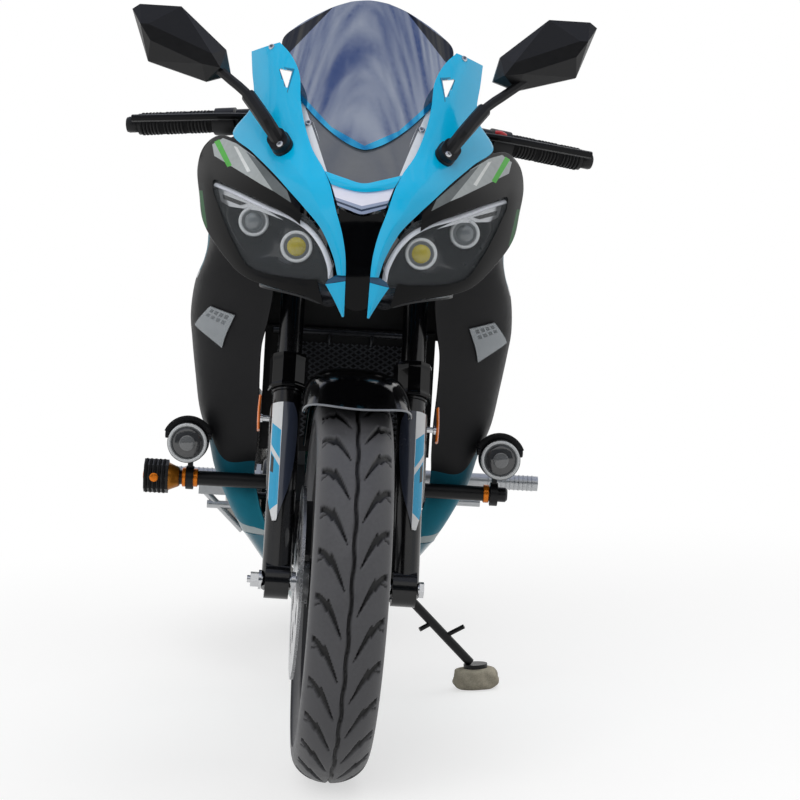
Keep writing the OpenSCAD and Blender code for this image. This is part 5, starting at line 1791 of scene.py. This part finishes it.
@dataclass
class FrontEnd:
    """Fork, mudguard, guards, bars and what turns with them."""

    fork_x: float = 96.0
    fork_offset: float = 38.0
    fork_len: float = 588.16
    axle_y: float = -690.0
    wheel_r: float = 293.0
    fender_r: float = 324.0
    blade_foot: float = 86.0
    blade_rows: Rows = ((0, 7), (28, 26), (72, 52), (130, 66), (170, 64), (190, 44))
    bar_ends: Rows = ((140, -395, 988), (362, -334, 964))

    def on_fork(self, p: Array) -> Array:
        """Upright points of places given about the axle end of the left leg, with z up the leg.

        Args:
            p: points (..., 3).

        Returns:
            Upright points.
        """
        return STANCE.on_axis(np.asarray(p, float) + (self.fork_x, -self.fork_offset, -self.fork_len))

    def mudguard(self) -> Shape:
        """Returns: shell d = r - 46 |s|^2.6 round the axle, x = w(a) sin(90 s), wider at its front edge."""
        s = np.linspace(-1, 1, 81)
        u = np.linspace(0, 1, 101)[:, None]
        a = (-31 + 12 * s**2) * (1 - u) + (52 - 4 * s**2) * u
        wide = np.interp(a, (-31, -4, 14, 52), (79, 77, 63, 63))
        t = np.radians(a)

        def skin(r: float) -> Array:
            """Args: r: radius on the middle line. Returns: the shell's grid."""
            d = r - 46 * np.abs(s) ** 2.6
            x = (wide + r - self.fender_r) * np.sin(np.pi / 2 * s)
            return np.stack([x, self.axle_y + d * np.sin(t), self.wheel_r + d * np.cos(t)], -1)

        return slab(skin(self.fender_r), skin(self.fender_r - PANEL))

    def cups(self) -> Shape:
        """Returns: cup of each leg, five flat faces of r = 27.8 / cos((t - 176 mod 38) - 19) and two rims."""
        t = np.linspace(176, 366, 96)
        k = np.linspace(0, 1, 25)[:, None]
        flat = 28.6 / np.cos(np.radians((t - 176) % 38 - 19)) * np.cos(np.radians(19)) ** 0.5
        lip = 1.6 * bell(k, 0.06, 0.05) + 0.8 * bell(k, 0.9, 0.06)
        z = 302 + 56 * k

        def skin(r: Array) -> Array:
            """Args: r: radius at each place. Returns: the cup's grid."""
            c, q = np.cos(np.radians(t)), np.sin(np.radians(t))
            return self.on_fork(np.stack(np.broadcast_arrays(r * c, r * q, z), -1))

        return slab(skin(flat + lip), skin(np.full_like(flat + lip, 25.7))).both()

    def guards(self) -> Shape:
        """Returns: pointed blade before each leg, (r sin a, -r cos a, h) with a = 22 + w(h) u degrees."""
        rows = smooth(self.blade_rows, 56)
        u = np.linspace(-1, 1, 37)
        a = np.radians(22 + rows[:, 1:] * u)
        z = self.blade_foot + rows[:, :1]

        def skin(r: float) -> Array:
            """Args: r: distance from the leg's axis. Returns: the blade's grid."""
            return self.on_fork(np.stack(np.broadcast_arrays(r * np.sin(a), -r * np.cos(a), z), -1))

        uv = np.stack(np.broadcast_arrays(0.5 + rows[:, 1:] * u / 140, rows[:, :1] / 200), -1)
        return slab(skin(25.6), skin(22.6), uv).both()

    def build(self, shop: Workshop) -> None:
        """Adds what is on the fork.

        Args:
            shop: where the pieces are made.
        """
        shop.dress(FORK, "fork_legs", bevel=1.0)
        shop.dress(SATIN_BLACK, "yokes", bevel=1.5)
        shop.dress(BRIGHT, "front_axle", bevel=0.8)
        shop.dress(
            replace(COVER, name="caliper_paint", colour="202124"), "front_caliper", "rear_caliper", bevel=2.0,
        )
        shop.piece(
            "mudguard_shell", self.mudguard(), GLOSS_BLACK, "front_mudguard", True, bevel=0.8, angle=50,
        )
        s = np.linspace(-0.97, 0.97, 41)
        a, d = np.radians(-31 + 12 * s**2), self.fender_r - 1.5 - 46 * np.abs(s) ** 2.6
        lip = np.stack(
            [78.4 * np.sin(np.pi / 2 * s), self.axle_y + d * np.sin(a), self.wheel_r + d * np.cos(a)], -1,
        )
        shop.piece(
            "mudguard_lip", sweep(lip, 3.4, 3.4, 80, 10),
            replace(SILVER, name="lip_grey", colour="7E8186", metallic=0.4), "front_mudguard",
        )
        shop.piece("mudguard_cups", self.cups(), GLOSS_BLACK, "front_mudguard", bevel=0.5, angle=20)
        guard = replace(
            WHITE, name="guard_skin",
            patches=(
                Patch(((0, 0), (430, 0), (440, 1000), (0, 1000)), "2B3140"),
                Patch(((435, 130), (700, 70), (720, 790), (450, 720)), "0FA6D6"),
                Patch(((440, 430), (720, 570), (720, 620), (445, 490)), "E4E6E8"),
                Patch(((600, 380), (700, 400), (690, 540), (600, 500)), "101113"),
                Patch(((720, 0), (1000, 0), (1000, 1000), (760, 1000)), "121214"),
            ),
        )
        shop.piece("fork_blades", self.guards(), guard, "fork_guards", True, bevel=0.6)
        strip = self.on_fork(np.array([(41, 0, 236), (42, 0, 264), (41, 0, 292)], float))
        # The amber reflectors carry a painted glow.
        shop.piece("reflectors", sweep(strip, 12, 4.5, 16, 10).both(), AMBER_PAINTED_GLOW, "fork_legs")
        foot = self.on_fork(np.array((20.0, 0, 256)))
        stub = revolve([(4.4, 0), (4.4, 15), (6.4, 15.5), (6.4, 19), (5, 20)], foot, (1, 0, 0), 24)
        shop.piece("reflector_stubs", stub.both(), BRIGHT, "fork_legs")
        cap = [(19.4, 0), (19.4, 4), (17, 7), (9, 7), (8, 5)]
        tops = [STANCE.on_axis((k * self.fork_x, -self.fork_offset, 128)) for k in (-1, 1)]
        caps = [revolve(cap, top, (0, 0.42, 0.91), 36) for top in tops]
        shop.piece("fork_caps", merged(*caps), BRIGHT, "fork_legs")
        self.bars(shop)

    def bars(self, shop: Workshop) -> None:
        """Adds grips, switches and levers.

        Args:
            shop: where the pieces are made.
        """
        shop.dress(POWDER, "handlebars", bevel=1.0)
        shop.dress(replace(POWDER, name="lever_black", metallic=0.4), "control_levers", bevel=1.2)
        a, b = np.array(self.bar_ends, float)
        length = float(np.linalg.norm(b - a))
        d = (b - a) / length
        h = np.linspace(0, 118, 119)
        rib = 17.6 + 0.7 * np.sign(np.sin(h * 1.1)) * (h % 40 > 6)
        grip = revolve(np.stack([rib, h], -1), a + d * (length - 127), d, 36)
        shop.piece("grip_sleeves", grip.both(), GRIP, "handlebars")
        end = revolve(
            [(12.3, 0), (13, 1), (13, 15), (11, 18), (5, 18.5), (4.5, 15)], a + d * (length - 2), d, 36,
        )
        shop.piece("bar_weights", end.both(), POWDER, "handlebars")
        pod = sweep(
            [a + d * 67 + (0, -1, -1), a + d * 83 + (0, -2, -2), a + d * 100 + (0, -1, -1)], 45, 43, 12, 20,
        )
        shop.piece("switch_pods", pod.both(), SATIN_BLACK, "handlebars", bevel=1.0)
        red = sweep(
            [a + d * 74 + (0, -19, 13), a + d * 82 + (0, -22, 14), a + d * 90 + (0, -20, 12)], 12, 9, 10, 14,
        )
        shop.piece("red_switch", red, RED, "handlebars")


@dataclass
class Chassis:
    """Frame, engine, cooling, exhaust, chain and the fittings at the sides."""

    rear_axle: tuple[float, float] = (690.0, 314.0)
    drive: tuple[float, float] = (95.0, 385.0)
    front_pitch: float = 36.0
    rear_pitch: float = 116.0
    mesh_slope: float = 0.62
    silencer_start: tuple[float, float, float] = (-168.0, 318.0, 278.0)
    silencer_run: tuple[float, float, float] = (-28.0, 382.0, 178.0)

    def mesh_grille(self) -> Shape:
        """Returns: diamond mesh of the radiator, bars z = c +/- slope x cut to the opening."""
        x0, z0, z1, y = 116.0, 486.0, 638.0, -389.5
        slope = self.mesh_slope
        c = np.arange(z0 - slope * x0, z1 + slope * x0, 9.0)
        lo = np.maximum(-x0, (z0 - c) / slope)
        hi = np.minimum(x0, (z1 - c) / slope)
        keep = hi - lo > 6
        c, lo, hi = c[keep], lo[keep], hi[keep]
        ends = np.stack([np.stack([lo, c + slope * lo], -1), np.stack([hi, c + slope * hi], -1)], 1)
        ends = np.concatenate([ends, ends * (-1, 1)])
        d = ends[:, 1] - ends[:, 0]
        n = np.stack([-d[:, 1], d[:, 0]], -1) / np.linalg.norm(d, axis=1, keepdims=True)
        corner = np.array([(-1.1, -1.0), (1.1, -1.0), (1.1, 1.0), (-1.1, 1.0)])
        p = ends[:, :, None] + n[:, None, None] * corner[:, :1]
        depth = np.broadcast_to(y + corner[:, 1], p.shape[:3])
        v = np.stack([p[..., 0], depth, p[..., 1]], -1)
        k = np.arange(len(ends))[:, None, None] * 8
        box = np.array([(0, 1, 5, 4), (1, 2, 6, 5), (2, 3, 7, 6), (3, 0, 4, 7), (0, 3, 2, 1), (4, 5, 6, 7)])
        return Shape(v.reshape(-1, 3), [(box[None] + k).reshape(-1, 4)])

    def chain_path(self, count: int) -> Array:
        """Even places along the chain's loop, from the tangent lines and arcs of both sprockets.

        Args:
            count: number of places.

        Returns:
            Points (y, z).
        """
        c0, c1 = np.array(self.drive), np.array(self.rear_axle)
        v = c1 - c0
        a, tilt = math.atan2(v[1], v[0]), math.asin((self.rear_pitch - self.front_pitch) / np.linalg.norm(v))
        t0 = a + math.pi / 2 + tilt + np.linspace(0, math.pi - 2 * tilt, 60)
        t1 = a - math.pi / 2 - tilt + np.linspace(0, math.pi + 2 * tilt, 160)
        front = c0 + self.front_pitch * np.stack([np.cos(t0), np.sin(t0)], -1)
        rear = c1 + self.rear_pitch * np.stack([np.cos(t1), np.sin(t1)], -1)
        loop = np.concatenate([front, rear, front[:1]])
        far = np.concatenate([[0], np.cumsum(np.linalg.norm(np.diff(loop, axis=0), axis=1))])
        at = np.arange(count) / count * far[-1]
        return np.stack([np.interp(at, far, loop[:, k]) for k in (0, 1)], -1)

    def chain(self) -> Shape:
        """Returns: links of two waisted plates, alternately inner and outer, and a roller at each joint."""
        p = self.chain_path(104)
        q = (p + np.roll(p, -1, 0)) / 2
        e = np.roll(p, -1, 0) - p
        e = e / np.linalg.norm(e, axis=1, keepdims=True)
        n = np.stack([-e[:, 1], e[:, 0]], -1)
        t = np.linspace(0, 2 * np.pi, 19)[:-1]
        long = 8.0 * np.cos(t) + 5.2 * powered(np.cos(t), 0.4)
        wide = 5.7 * np.sin(t) * (1 - 0.22 * np.abs(np.sin(t)) ** 3)
        outline = q[:, None] + e[:, None] * long[:, None] + n[:, None] * wide[:, None]
        odd = np.where(np.arange(len(p)) % 2 == 0, 0.0, 1.6)[:, None]
        parts = []
        for base, way in ((80.4, -1), (85.6, 1)):
            x0 = np.broadcast_to(base + way * odd, outline.shape[:2])
            rings = np.stack(
                [np.stack([x0 + way * k, outline[..., 0], outline[..., 1]], -1) for k in (0.0, 1.5)], 1,
            )
            k, m = len(rings), rings.shape[2]
            v = rings.reshape(k, 2 * m, 3)
            j = np.arange(m)
            side = np.stack([j, (j + 1) % m, m + (j + 1) % m, m + j], -1)
            lid = np.stack([j[1:-2:2], j[2:-1:2], j[3::2], np.zeros((m - 2) // 2, int)], -1)
            f = np.concatenate([side, lid, lid + m])
            parts.append(
                Shape(v.reshape(-1, 3), [(f[None] + (np.arange(k) * 2 * m)[:, None, None]).reshape(-1, 4)])
            )
        roller = revolve([(4.6, -3), (5, -2.6), (5, 2.6), (4.6, 3)], (0, 0, 0), (1, 0, 0), 12)
        parts.append(copies(roller, np.stack([np.full(len(p), 83.0), p[:, 0], p[:, 1]], -1)))
        return merged(*parts)

    def build(self, shop: Workshop) -> None:
        """Dresses the chassis.

        Args:
            shop: where the pieces are made.
        """
        shop.dress(FRAME_BLACK, "frame", "swingarm", bevel=1.2)
        shop.dress(CASTING, "engine", bevel=2.0)
        shop.dress(replace(SATIN_BLACK, name="radiator_black", colour="0C0C0D"), "radiator", bevel=1.0)
        shop.dress(STEEL, "exhaust", bevel=1.0)
        shop.dress(BRIGHT, "rear_axle", bevel=0.8)
        shop.dress(replace(STEEL, name="sprocket_steel", colour="6E6C68"), "rear_sprocket", bevel=0.5)
        shop.dress(replace(POWDER, name="shock_paint", colour="8B1A1C", roughness=0.3), "rear_shock")
        shop.piece(
            "radiator_mesh", self.mesh_grille(),
            replace(POWDER, name="mesh_grey", colour="505257", metallic=0.5, specular=0.5), "radiator",
        )
        bar = sweep([(-124, -394, 655), (0, -396, 656), (124, -394, 655)], 12, 9, 20, 12)
        clips = [
            sweep([(x, -399, 652), (x, -401, 645), (x, -397, 638)], 8, 5, 8, 10)
            for x in (-96, -34, 34, 96)
        ]
        shop.piece(
            "radiator_top", merged(bar, *clips),
            replace(GREY_BLACK, name="radiator_bar", colour="3C3E42", metallic=0.4), "radiator",
        )
        shop.piece(
            "chain_links", self.chain(), replace(BRIGHT, name="chain_steel", colour="7E7A70", roughness=0.35),
            "chain", True,
        )
        eighths = np.arange(8) * math.pi / 4
        left = [bolt((122, -70 + 59 * math.cos(k), 354 + 59 * math.sin(k)), (1, 0, 0), 4.5) for k in eighths]
        right = [bolt((-126, 58 * math.cos(k), 356 + 58 * math.sin(k)), (-1, 0, 0), 4.5) for k in eighths]
        shop.piece("cover_bolts", merged(*left, *right), BRIGHT, "engine")
        ring = [(49.5, -0.5), (47, 2), (41, 2.6), (38, 1.4)]
        rim = [revolve(ring, (130, -70, 354), (1, 0, 0), 48), revolve(ring, (-134, 0, 356), (-1, 0, 0), 48)]
        shop.piece("cover_rims", merged(*rim), COVER, "engine")
        tip = revolve(
            [(29.6, -2), (31, 0), (31, 7), (28.5, 9), (22.5, 8), (21.6, 2)], (-197.96, 726.7, 468.5),
            (-0.066, 0.906, 0.42), 48,
        )
        shop.piece("silencer_tip", tip, POWDER, "exhaust")
        start, run = np.array(self.silencer_start), np.array(self.silencer_run)
        band = [(42.3, 0), (43.4, 1), (43.4, 17), (42.3, 18)]
        bands = [revolve(band, start + k * run, run, 56) for k in (0.16, 0.9)]
        shop.piece("silencer_bands", merged(*bands), BRIGHT, "exhaust")
        shop.dress(ALLOY, "footrests", bevel=1.0)
        rib = [(13.6, 0), (14.4, 0.6), (14.4, 2.4), (13.6, 3)]
        pegs = [revolve(rib, (x, 104, 378), (1, 0, 0), 28) for x in range(272, 358, 8)]
        pegs += [revolve(rib, (-x, 108, 360), (-1, 0, 0), 28) for x in range(222, 300, 8)]
        shop.piece("peg_ribs", merged(*pegs), ALLOY, "footrests")
        shop.dress(replace(POWDER, name="stand_black"), "side_stand", bevel=1.0)


@dataclass
class Fittings:
    """Crash bars, fog lamps, mirrors, stand spring and the stone."""

    crash: tuple[float, float] = (-402.0, 410.0)
    fog: tuple[float, float, float] = (250.0, -420.0, 469.0)
    mirror_head: Rows = (
        (197, 1050), (206, 1087), (276, 1147), (338, 1147), (349, 1139), (322, 1063), (234, 1038),
    )
    mirror_set: tuple[float, float] = (-8.0, 7.0)
    spring_ends: Rows = ((113, -68, 212), (152, -84, 166))
    turns: int = 11
    coil: float = 6.0
    stone_at: tuple[float, float, float] = (257.0, -66.0, 0.0)
    stone_half: tuple[float, float, float] = (39.0, 30.0, 18.5)

    def bars(self, shop: Workshop) -> None:
        """Adds the rings and the end of the crash bars.

        Args:
            shop: where the pieces are made.
        """
        shop.dress(POWDER, "crash_bars", bevel=0.8)
        y, z = self.crash

        def ring(x0: float, x1: float, r: float, chamfer: float = 1.0) -> Shape:
            """Args: x0, x1: ends; r: radius; chamfer: edge. Returns: a turned collar round the bar."""
            w = abs(x1 - x0)
            rows = [(12.2, 0), (r - chamfer, 0), (r, chamfer), (r, w - chamfer), (r - chamfer, w), (12.2, w)]
            return revolve(rows, (x0, y, z), (x1 - x0, 0, 0), 40)

        rings = [ring(-232, -241, 14.6), ring(-251, -257, 15.4), ring(228, 237, 14.6)]
        shop.piece("orange_rings", merged(*rings), ORANGE, "crash_bars")
        cone = revolve([(14.6, 0), (15.5, 0.6), (22, 16), (22, 17.6), (15, 18)], (-262, y, z), (-1, 0, 0), 40)
        shop.piece("gold_collar", cone, GOLD, "crash_bars")
        rib = [(25.4, -2.4), (27.6, -1.4), (27.6, 1.4), (25.4, 2.4)]
        ribs = [revolve(rib, (-x, y, z), (-1, 0, 0), 40) for x in (286, 293, 300, 307, 314)]
        shop.piece("bobbin_ribs", merged(*ribs), GRIP, "crash_bars")
        places = (((-301, y - 27, z), (0, -1, 0)), ((-318, y, z), (-1, 0, 0)))
        dots = [revolve([(7, -1), (7, 1.2), (5.6, 2), (2, 2)], at, way, 28) for at, way in places]
        shop.piece("bobbin_dots", merged(*dots), ORANGE, "crash_bars")
        cap = revolve([(12, -1), (12, 2), (9, 5), (3, 5.5)], (262, y, z), (1, 0, 0), 32)
        shop.piece("bar_plug", cap, GREY_BLACK, "crash_bars")

    def fog_lamps(self, shop: Workshop) -> None:
        """Adds the rims, lenses and straps of the fog lamps.

        Args:
            shop: where the pieces are made.
        """
        shop.dress(SATIN_BLACK, "fog_lamps", bevel=1.0)
        x, y, z = self.fog
        front = (x, y - 20, z)
        rim = revolve(hoop(28.8, 1, 2.8, 3, 12), front, (0, 1, 0), 56)
        shop.piece(
            "fog_rims", rim.both(), replace(HALO, name="fog_rim", colour="C9CCCE", glow=0.04), "fog_lamps",
        )
        lens = revolve(dome(26, 3, 7, 12), front, (0, 1, 0), 48)
        shop.piece(
            "fog_lenses", lens.both(), replace(CLEAR_DOME, name="fog_lens", colour="3A3B3D"), "fog_lamps",
        )
        inner = revolve([(11, -6.4), (12.5, -5.6), (12.5, -4.8), (11.2, -4.6)], front, (0, 1, 0), 40)
        shop.piece(
            "fog_pupils", inner.both(), replace(CLEAR_DOME, name="fog_pupil", colour="6C6E70"), "fog_lamps",
        )
        t = np.radians(np.linspace(-158, -22, 33))
        band = np.stack([x - 34.4 * np.cos(t), np.full(33, y + 4.0), z - 34.4 * np.sin(t)], -1)
        strap = sweep(band, 3.2, 15, 48, 12)
        pins = [
            revolve([(6, -2), (6, 3), (5, 4), (2, 4)], (x + s * 33, y + 4, z + 10), (s, 0, 0), 24)
            for s in (-1, 1)
        ]
        shop.piece("fog_straps", merged(strap, *pins).both(), POWDER, "fog_lamps")
        fins = [
            revolve([(31.9, 0), (33.2, 0.5), (33.2, 2.5), (31.9, 3)], (x, y + k, z), (0, 1, 0), 48)
            for k in (12, 17)
        ]
        shop.piece("fog_fins", merged(*fins).both(), POWDER, "fog_lamps")

    def mirrors(self, shop: Workshop) -> None:
        """Adds the mirror glass and the screws of the feet.

        Args:
            shop: where the pieces are made.
        """
        shop.dress(SATIN_BLACK, "mirrors", bevel=3.0)
        q = np.asarray(self.mirror_head, float)
        c = q.mean(0)

        def back(p: Array, depth: float) -> Array:
            """Args: p: points (x, z); depth: distance forward. Returns: points on the mirror's rear face."""
            return np.stack([p[..., 0], -591.2 - depth + 0 * p[..., 0], p[..., 1]], -1)

        glass = plate(c + (q - c) * 0.9, back, 1.5)
        dx, dz = self.mirror_set
        pair = [replace(g, verts=g.verts + (dx, 0, k * dz)) for g, k in ((glass, 1), (glass.mirrored(), -1))]
        shop.piece("mirror_glass", merged(*pair), MIRROR, "mirrors", bevel=0.5)
        out, along = np.array([0.538, -0.64, 0.55]), np.array([0.348, 0.763, 0.545])
        foot = np.array([120, float(nose_y(np.array(120.0), np.array(940.0))), 940])
        screws = [bolt(foot + 16.6 * out + k * along, out, 5.5) for k in (-15, 15)]
        shop.piece("mirror_screws", merged(*screws).both(), BRIGHT, "mirrors")
        t = np.linspace(0, 2 * np.pi, 49)[:-1]
        side = np.cross(out, along)
        oval = np.cos(t)[:, None] * along + np.sin(t)[:, None] * side
        rows = np.array([(15.2, 2), (16.4, 3), (16.4, 7), (15.2, 8)])
        wide, high = rows[:, :1, None], rows[:, 1, None, None]
        base = foot + high * out + wide * oval + 8 * np.sign(np.cos(t))[:, None] * along
        shop.piece("mirror_feet", ring_solid(base).both(), POWDER, "mirrors")

    def stone(self, shop: Workshop) -> None:
        """Adds the stone, a superellipsoid with a lumpy radius that lies flat on the floor.

        Args:
            shop: where the pieces are made.
        """
        lat = np.radians(np.linspace(-89, 89, 61))[:, None]
        lon = np.linspace(0, 2 * np.pi, 97)[:-1]
        c, s = powered(np.cos(lon), 0.7), powered(np.sin(lon), 0.7)
        k = np.abs(np.cos(lat)) ** 0.45
        wide, long, high = self.stone_half
        x, y, z = np.broadcast_arrays(wide * k * c, long * k * s, high * powered(np.sin(lat), 0.55))
        lump = 1 + 0.035 * np.sin(x / 7 + 1.3) * np.sin(y / 6) + 0.03 * np.sin(x / 4.1 + z / 5)
        lump = lump + 0.03 * np.sin(y / 3.3 + 2) * np.sin(z / 4)
        flat = np.clip(z * 1.04 + high, 0, 2 * high)
        p = np.stack([x * lump, y * lump, flat], -1) + self.stone_at + STANCE.shift
        solid = ring_solid(p)
        shop.piece(
            "stone_lump", replace(solid, verts=solid.verts / 1000), STONE, "stand_stone", True, angle=70,
            placed=True,
        )

    def spring(self, shop: Workshop) -> None:
        """Adds the stand's return spring, a helix a + (b - a) t + r (u cos + v sin) of 2 pi turns t.

        Args:
            shop: where the pieces are made.
        """
        a, b = np.array(self.spring_ends, float)
        t = np.linspace(0, 1, 160)
        u, v, _ = axes(b - a)
        turn = (2 * np.pi * self.turns * t)[:, None]
        p = a + (b - a) * t[:, None] + self.coil * np.cos(turn) * u + self.coil * np.sin(turn) * v
        shop.piece("stand_spring", sweep(p, 2.2, 2.2, 480, 6), BRIGHT, "side_stand")

    def build(self, shop: Workshop) -> None:
        """Adds all fittings.

        Args:
            shop: where the pieces are made.
        """
        self.bars(shop)
        self.fog_lamps(shop)
        self.mirrors(shop)
        self.spring(shop)
        self.stone(shop)


@dataclass
class Studio:
    """Floor, soft lights and the camera."""

    eye: tuple[float, float, float] = (-0.06818, -4.19825, 0.82651)
    pitch: float = 4.294
    yaw: float = 1.658
    roll: float = -2.624
    lens: float = 106.23
    panels: tuple = (
        ("sky_panel", (9, 9), (0, 0.6, 4.6), (180, 0, 0), ("3E63A8", "FFFFFF"), (5.0, 90.0, 1.0)),
        ("far_panel", (16, 5.6), (0, -9.5, 2.6), (90, 0, 0), ("1B1E22", "5A626C"), (4.0, 3.0, 1.0)),
        ("left_panel", (4, 2.4), (-4.6, -2.4, 1.9), (80, 0, -70), ("D5DBE2", "FFFFFF"), (3.0, 2.0, 1.0)),
        ("right_panel", (4, 2.4), (4.6, -2.4, 1.9), (80, 0, 70), ("D5DBE2", "FFFFFF"), (3.0, 2.0, 1.0)),
    )
    lamps: tuple = (("key_lamp", 4.0, (-1.2, -4.6, 3.4), 100.0), ("top_lamp", 3.0, (0.6, 0.4, 4.4), 60.0))

    @staticmethod
    def panel(
        name: str,
        size: tuple[float, float],
        at: Sequence[float],
        turn: Sequence[float],
        tones: tuple[str, str],
        grain: tuple[float, float, float],
    ) -> None:
        """Adds a large panel with a cloudy face, which only reflections see.

        Args:
            name: name of the panel.
            size: width and length in metres.
            at: its middle.
            turn: rotation in degrees.
            tones: darker and lighter tone.
            grain: how fine the clouds are along its width and length.
        """
        bpy.ops.mesh.primitive_plane_add(size=1, location=at, rotation=[math.radians(a) for a in turn])
        obj = bpy.context.object
        obj.name = name
        obj.scale = (*size, 1)
        m = bpy.data.materials.new(name)
        m.use_nodes = True
        tree = m.node_tree
        tree.nodes.remove(find(tree, "BSDF_PRINCIPLED"))
        at_object = add_node(tree, "ShaderNodeTexCoord").outputs["Object"]
        stretch = add_node(tree, "ShaderNodeVectorMath", {"operation": "MULTIPLY"}, _0=at_object, _1=grain)
        cloud = add_node(
            tree, "ShaderNodeTexNoise", Vector=stretch.outputs[0], Scale=1.1, Detail=6.0, Roughness=0.62,
            Distortion=0.4,
        )
        ramp = add_node(tree, "ShaderNodeValToRGB", _0=cloud.outputs[0])
        for stop, place, tone in zip(ramp.color_ramp.elements, (0.36, 0.62), tones):
            stop.position, stop.color = place, linear(tone)
        light = add_node(tree, "ShaderNodeEmission", Color=ramp.outputs[0], Strength=1.0)
        tree.links.new(light.outputs[0], find(tree, "OUTPUT_MATERIAL").inputs["Surface"])
        obj.data.materials.append(m)
        obj.visible_camera = obj.visible_diffuse = False

    @staticmethod
    def lamp(name: str, size: float, at: tuple[float, float, float], power: float) -> None:
        """Adds a soft square lamp that shines on the middle of the motorcycle and stays out of reflections.

        Args:
            name: name of the lamp.
            size: its side in metres.
            at: its place.
            power: its strength in watts.
        """
        data = bpy.data.lights.new(name, "AREA")
        data.size, data.energy = size, power
        obj = bpy.data.objects.new(name, data)
        way = Vector((0, -0.3, 0.6)) - Vector(at)
        obj.matrix_world = Matrix.Translation(at) @ way.to_track_quat("-Z", "Y").to_matrix().to_4x4()
        obj.visible_glossy = False
        bpy.context.scene.collection.objects.link(obj)

    @staticmethod
    def seen(tree: bpy.types.NodeTree, shown: float, cast: float) -> bpy.types.NodeSocket:
        """Strength that camera, mirror and glass rays see, and another for the light cast on the object.

        Args:
            tree: the material's or world's nodes.
            shown: strength for what is seen.
            cast: strength for the light.

        Returns:
            The strength's socket.
        """
        path = add_node(tree, "ShaderNodeLightPath").outputs
        both = maths(tree, "MAXIMUM", path["Is Camera Ray"], path["Is Glossy Ray"])
        any_of = maths(tree, "MAXIMUM", both, path["Is Transmission Ray"])
        return add_node(tree, "ShaderNodeMapRange", _0=any_of, _3=cast, _4=shown).outputs[0]

    def build(self) -> None:
        """Adds the floor, the lights, the white surround and the camera."""
        scene = bpy.context.scene
        bpy.ops.mesh.primitive_plane_add(size=60, location=(0, 0, -0.0005))
        floor = bpy.context.object
        floor.name = "floor"
        m = bpy.data.materials.new("floor")
        m.use_nodes = True
        tree = m.node_tree
        shader = find(tree, "BSDF_PRINCIPLED")
        shader.inputs["Base Color"].default_value = (0.5, 0.5, 0.5, 1)
        shader.inputs["Roughness"].default_value = 0.95
        shader.inputs["Specular IOR Level"].default_value = 0.0
        near = add_node(tree, "ShaderNodeEmission", Strength=self.seen(tree, 0.6, 0.0))
        both = add_node(tree, "ShaderNodeAddShader", _0=shader.outputs[0], _1=near.outputs[0])
        place = add_node(tree, "ShaderNodeTexCoord").outputs["Object"]
        away = add_node(tree, "ShaderNodeVectorMath", {"operation": "LENGTH"}, _0=place).outputs["Value"]
        fade = add_node(
            tree, "ShaderNodeMapRange", {"interpolation_type": "SMOOTHSTEP"}, _0=away, _1=0.9, _2=2.2,
        )
        white = add_node(tree, "ShaderNodeEmission", Strength=self.seen(tree, 1.0, 0.5))
        mix = add_node(
            tree, "ShaderNodeMixShader", _0=fade.outputs[0], _1=both.outputs[0], _2=white.outputs[0],
        )
        tree.links.new(mix.outputs[0], find(tree, "OUTPUT_MATERIAL").inputs["Surface"])
        floor.data.materials.append(m)
        for row in self.panels:
            self.panel(*row)
        for row in self.lamps:
            self.lamp(*row)
        world = bpy.data.worlds.new("surround")
        scene.world = world
        world.use_nodes = True
        tree = world.node_tree
        tree.nodes.clear()
        sky = add_node(tree, "ShaderNodeBackground", Color=(1, 1, 1, 1), Strength=self.seen(tree, 1.0, 0.45))
        add_node(tree, "ShaderNodeOutputWorld", _0=sky.outputs[0])
        data = bpy.data.cameras.new("camera")
        data.lens, data.sensor_width = self.lens, 36.0
        data.clip_end = 100
        cam = bpy.data.objects.new("camera", data)
        yaw, pitch, roll = (
            Matrix.Rotation(math.radians(angle), 4, axis)
            for angle, axis in ((-self.yaw, "Z"), (90 - self.pitch, "X"), (self.roll, "Z"))
        )
        cam.matrix_world = Matrix.Translation(self.eye) @ (yaw @ pitch) @ roll
        scene.collection.objects.link(cam)
        scene.camera = cam
        scene.view_settings.view_transform = "Standard"


def main() -> None:
    """Builds the model: the studio, then each sub-assembly in turn."""
    logging.basicConfig(level=logging.INFO, format="%(name)s: %(message)s")
    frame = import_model()
    Studio().build()
    shop = Workshop(frame)
    parts = (
        NoseCowl(), Headlamps(), Screen(), SideFairing(), TankAndTail(),
        Wheel("front", (-690.0, 293.0), 293.0, 110.0, 216.0, 40.0, 768, 84),
        Wheel("rear", (690.0, 314.0), 314.0, 140.0, 216.0, 48.0, 476, 64),
        FrontEnd(), Chassis(), Fittings(),
    )
    for part in parts:
        LOG.info("building %s", type(part).__name__)
        part.build(shop)
    left = sorted(set(shop.nodes) - shop.dressed)
    LOG.info("nodes without a finish: %s", left or "none")


if __name__ == "__main__":
    main()
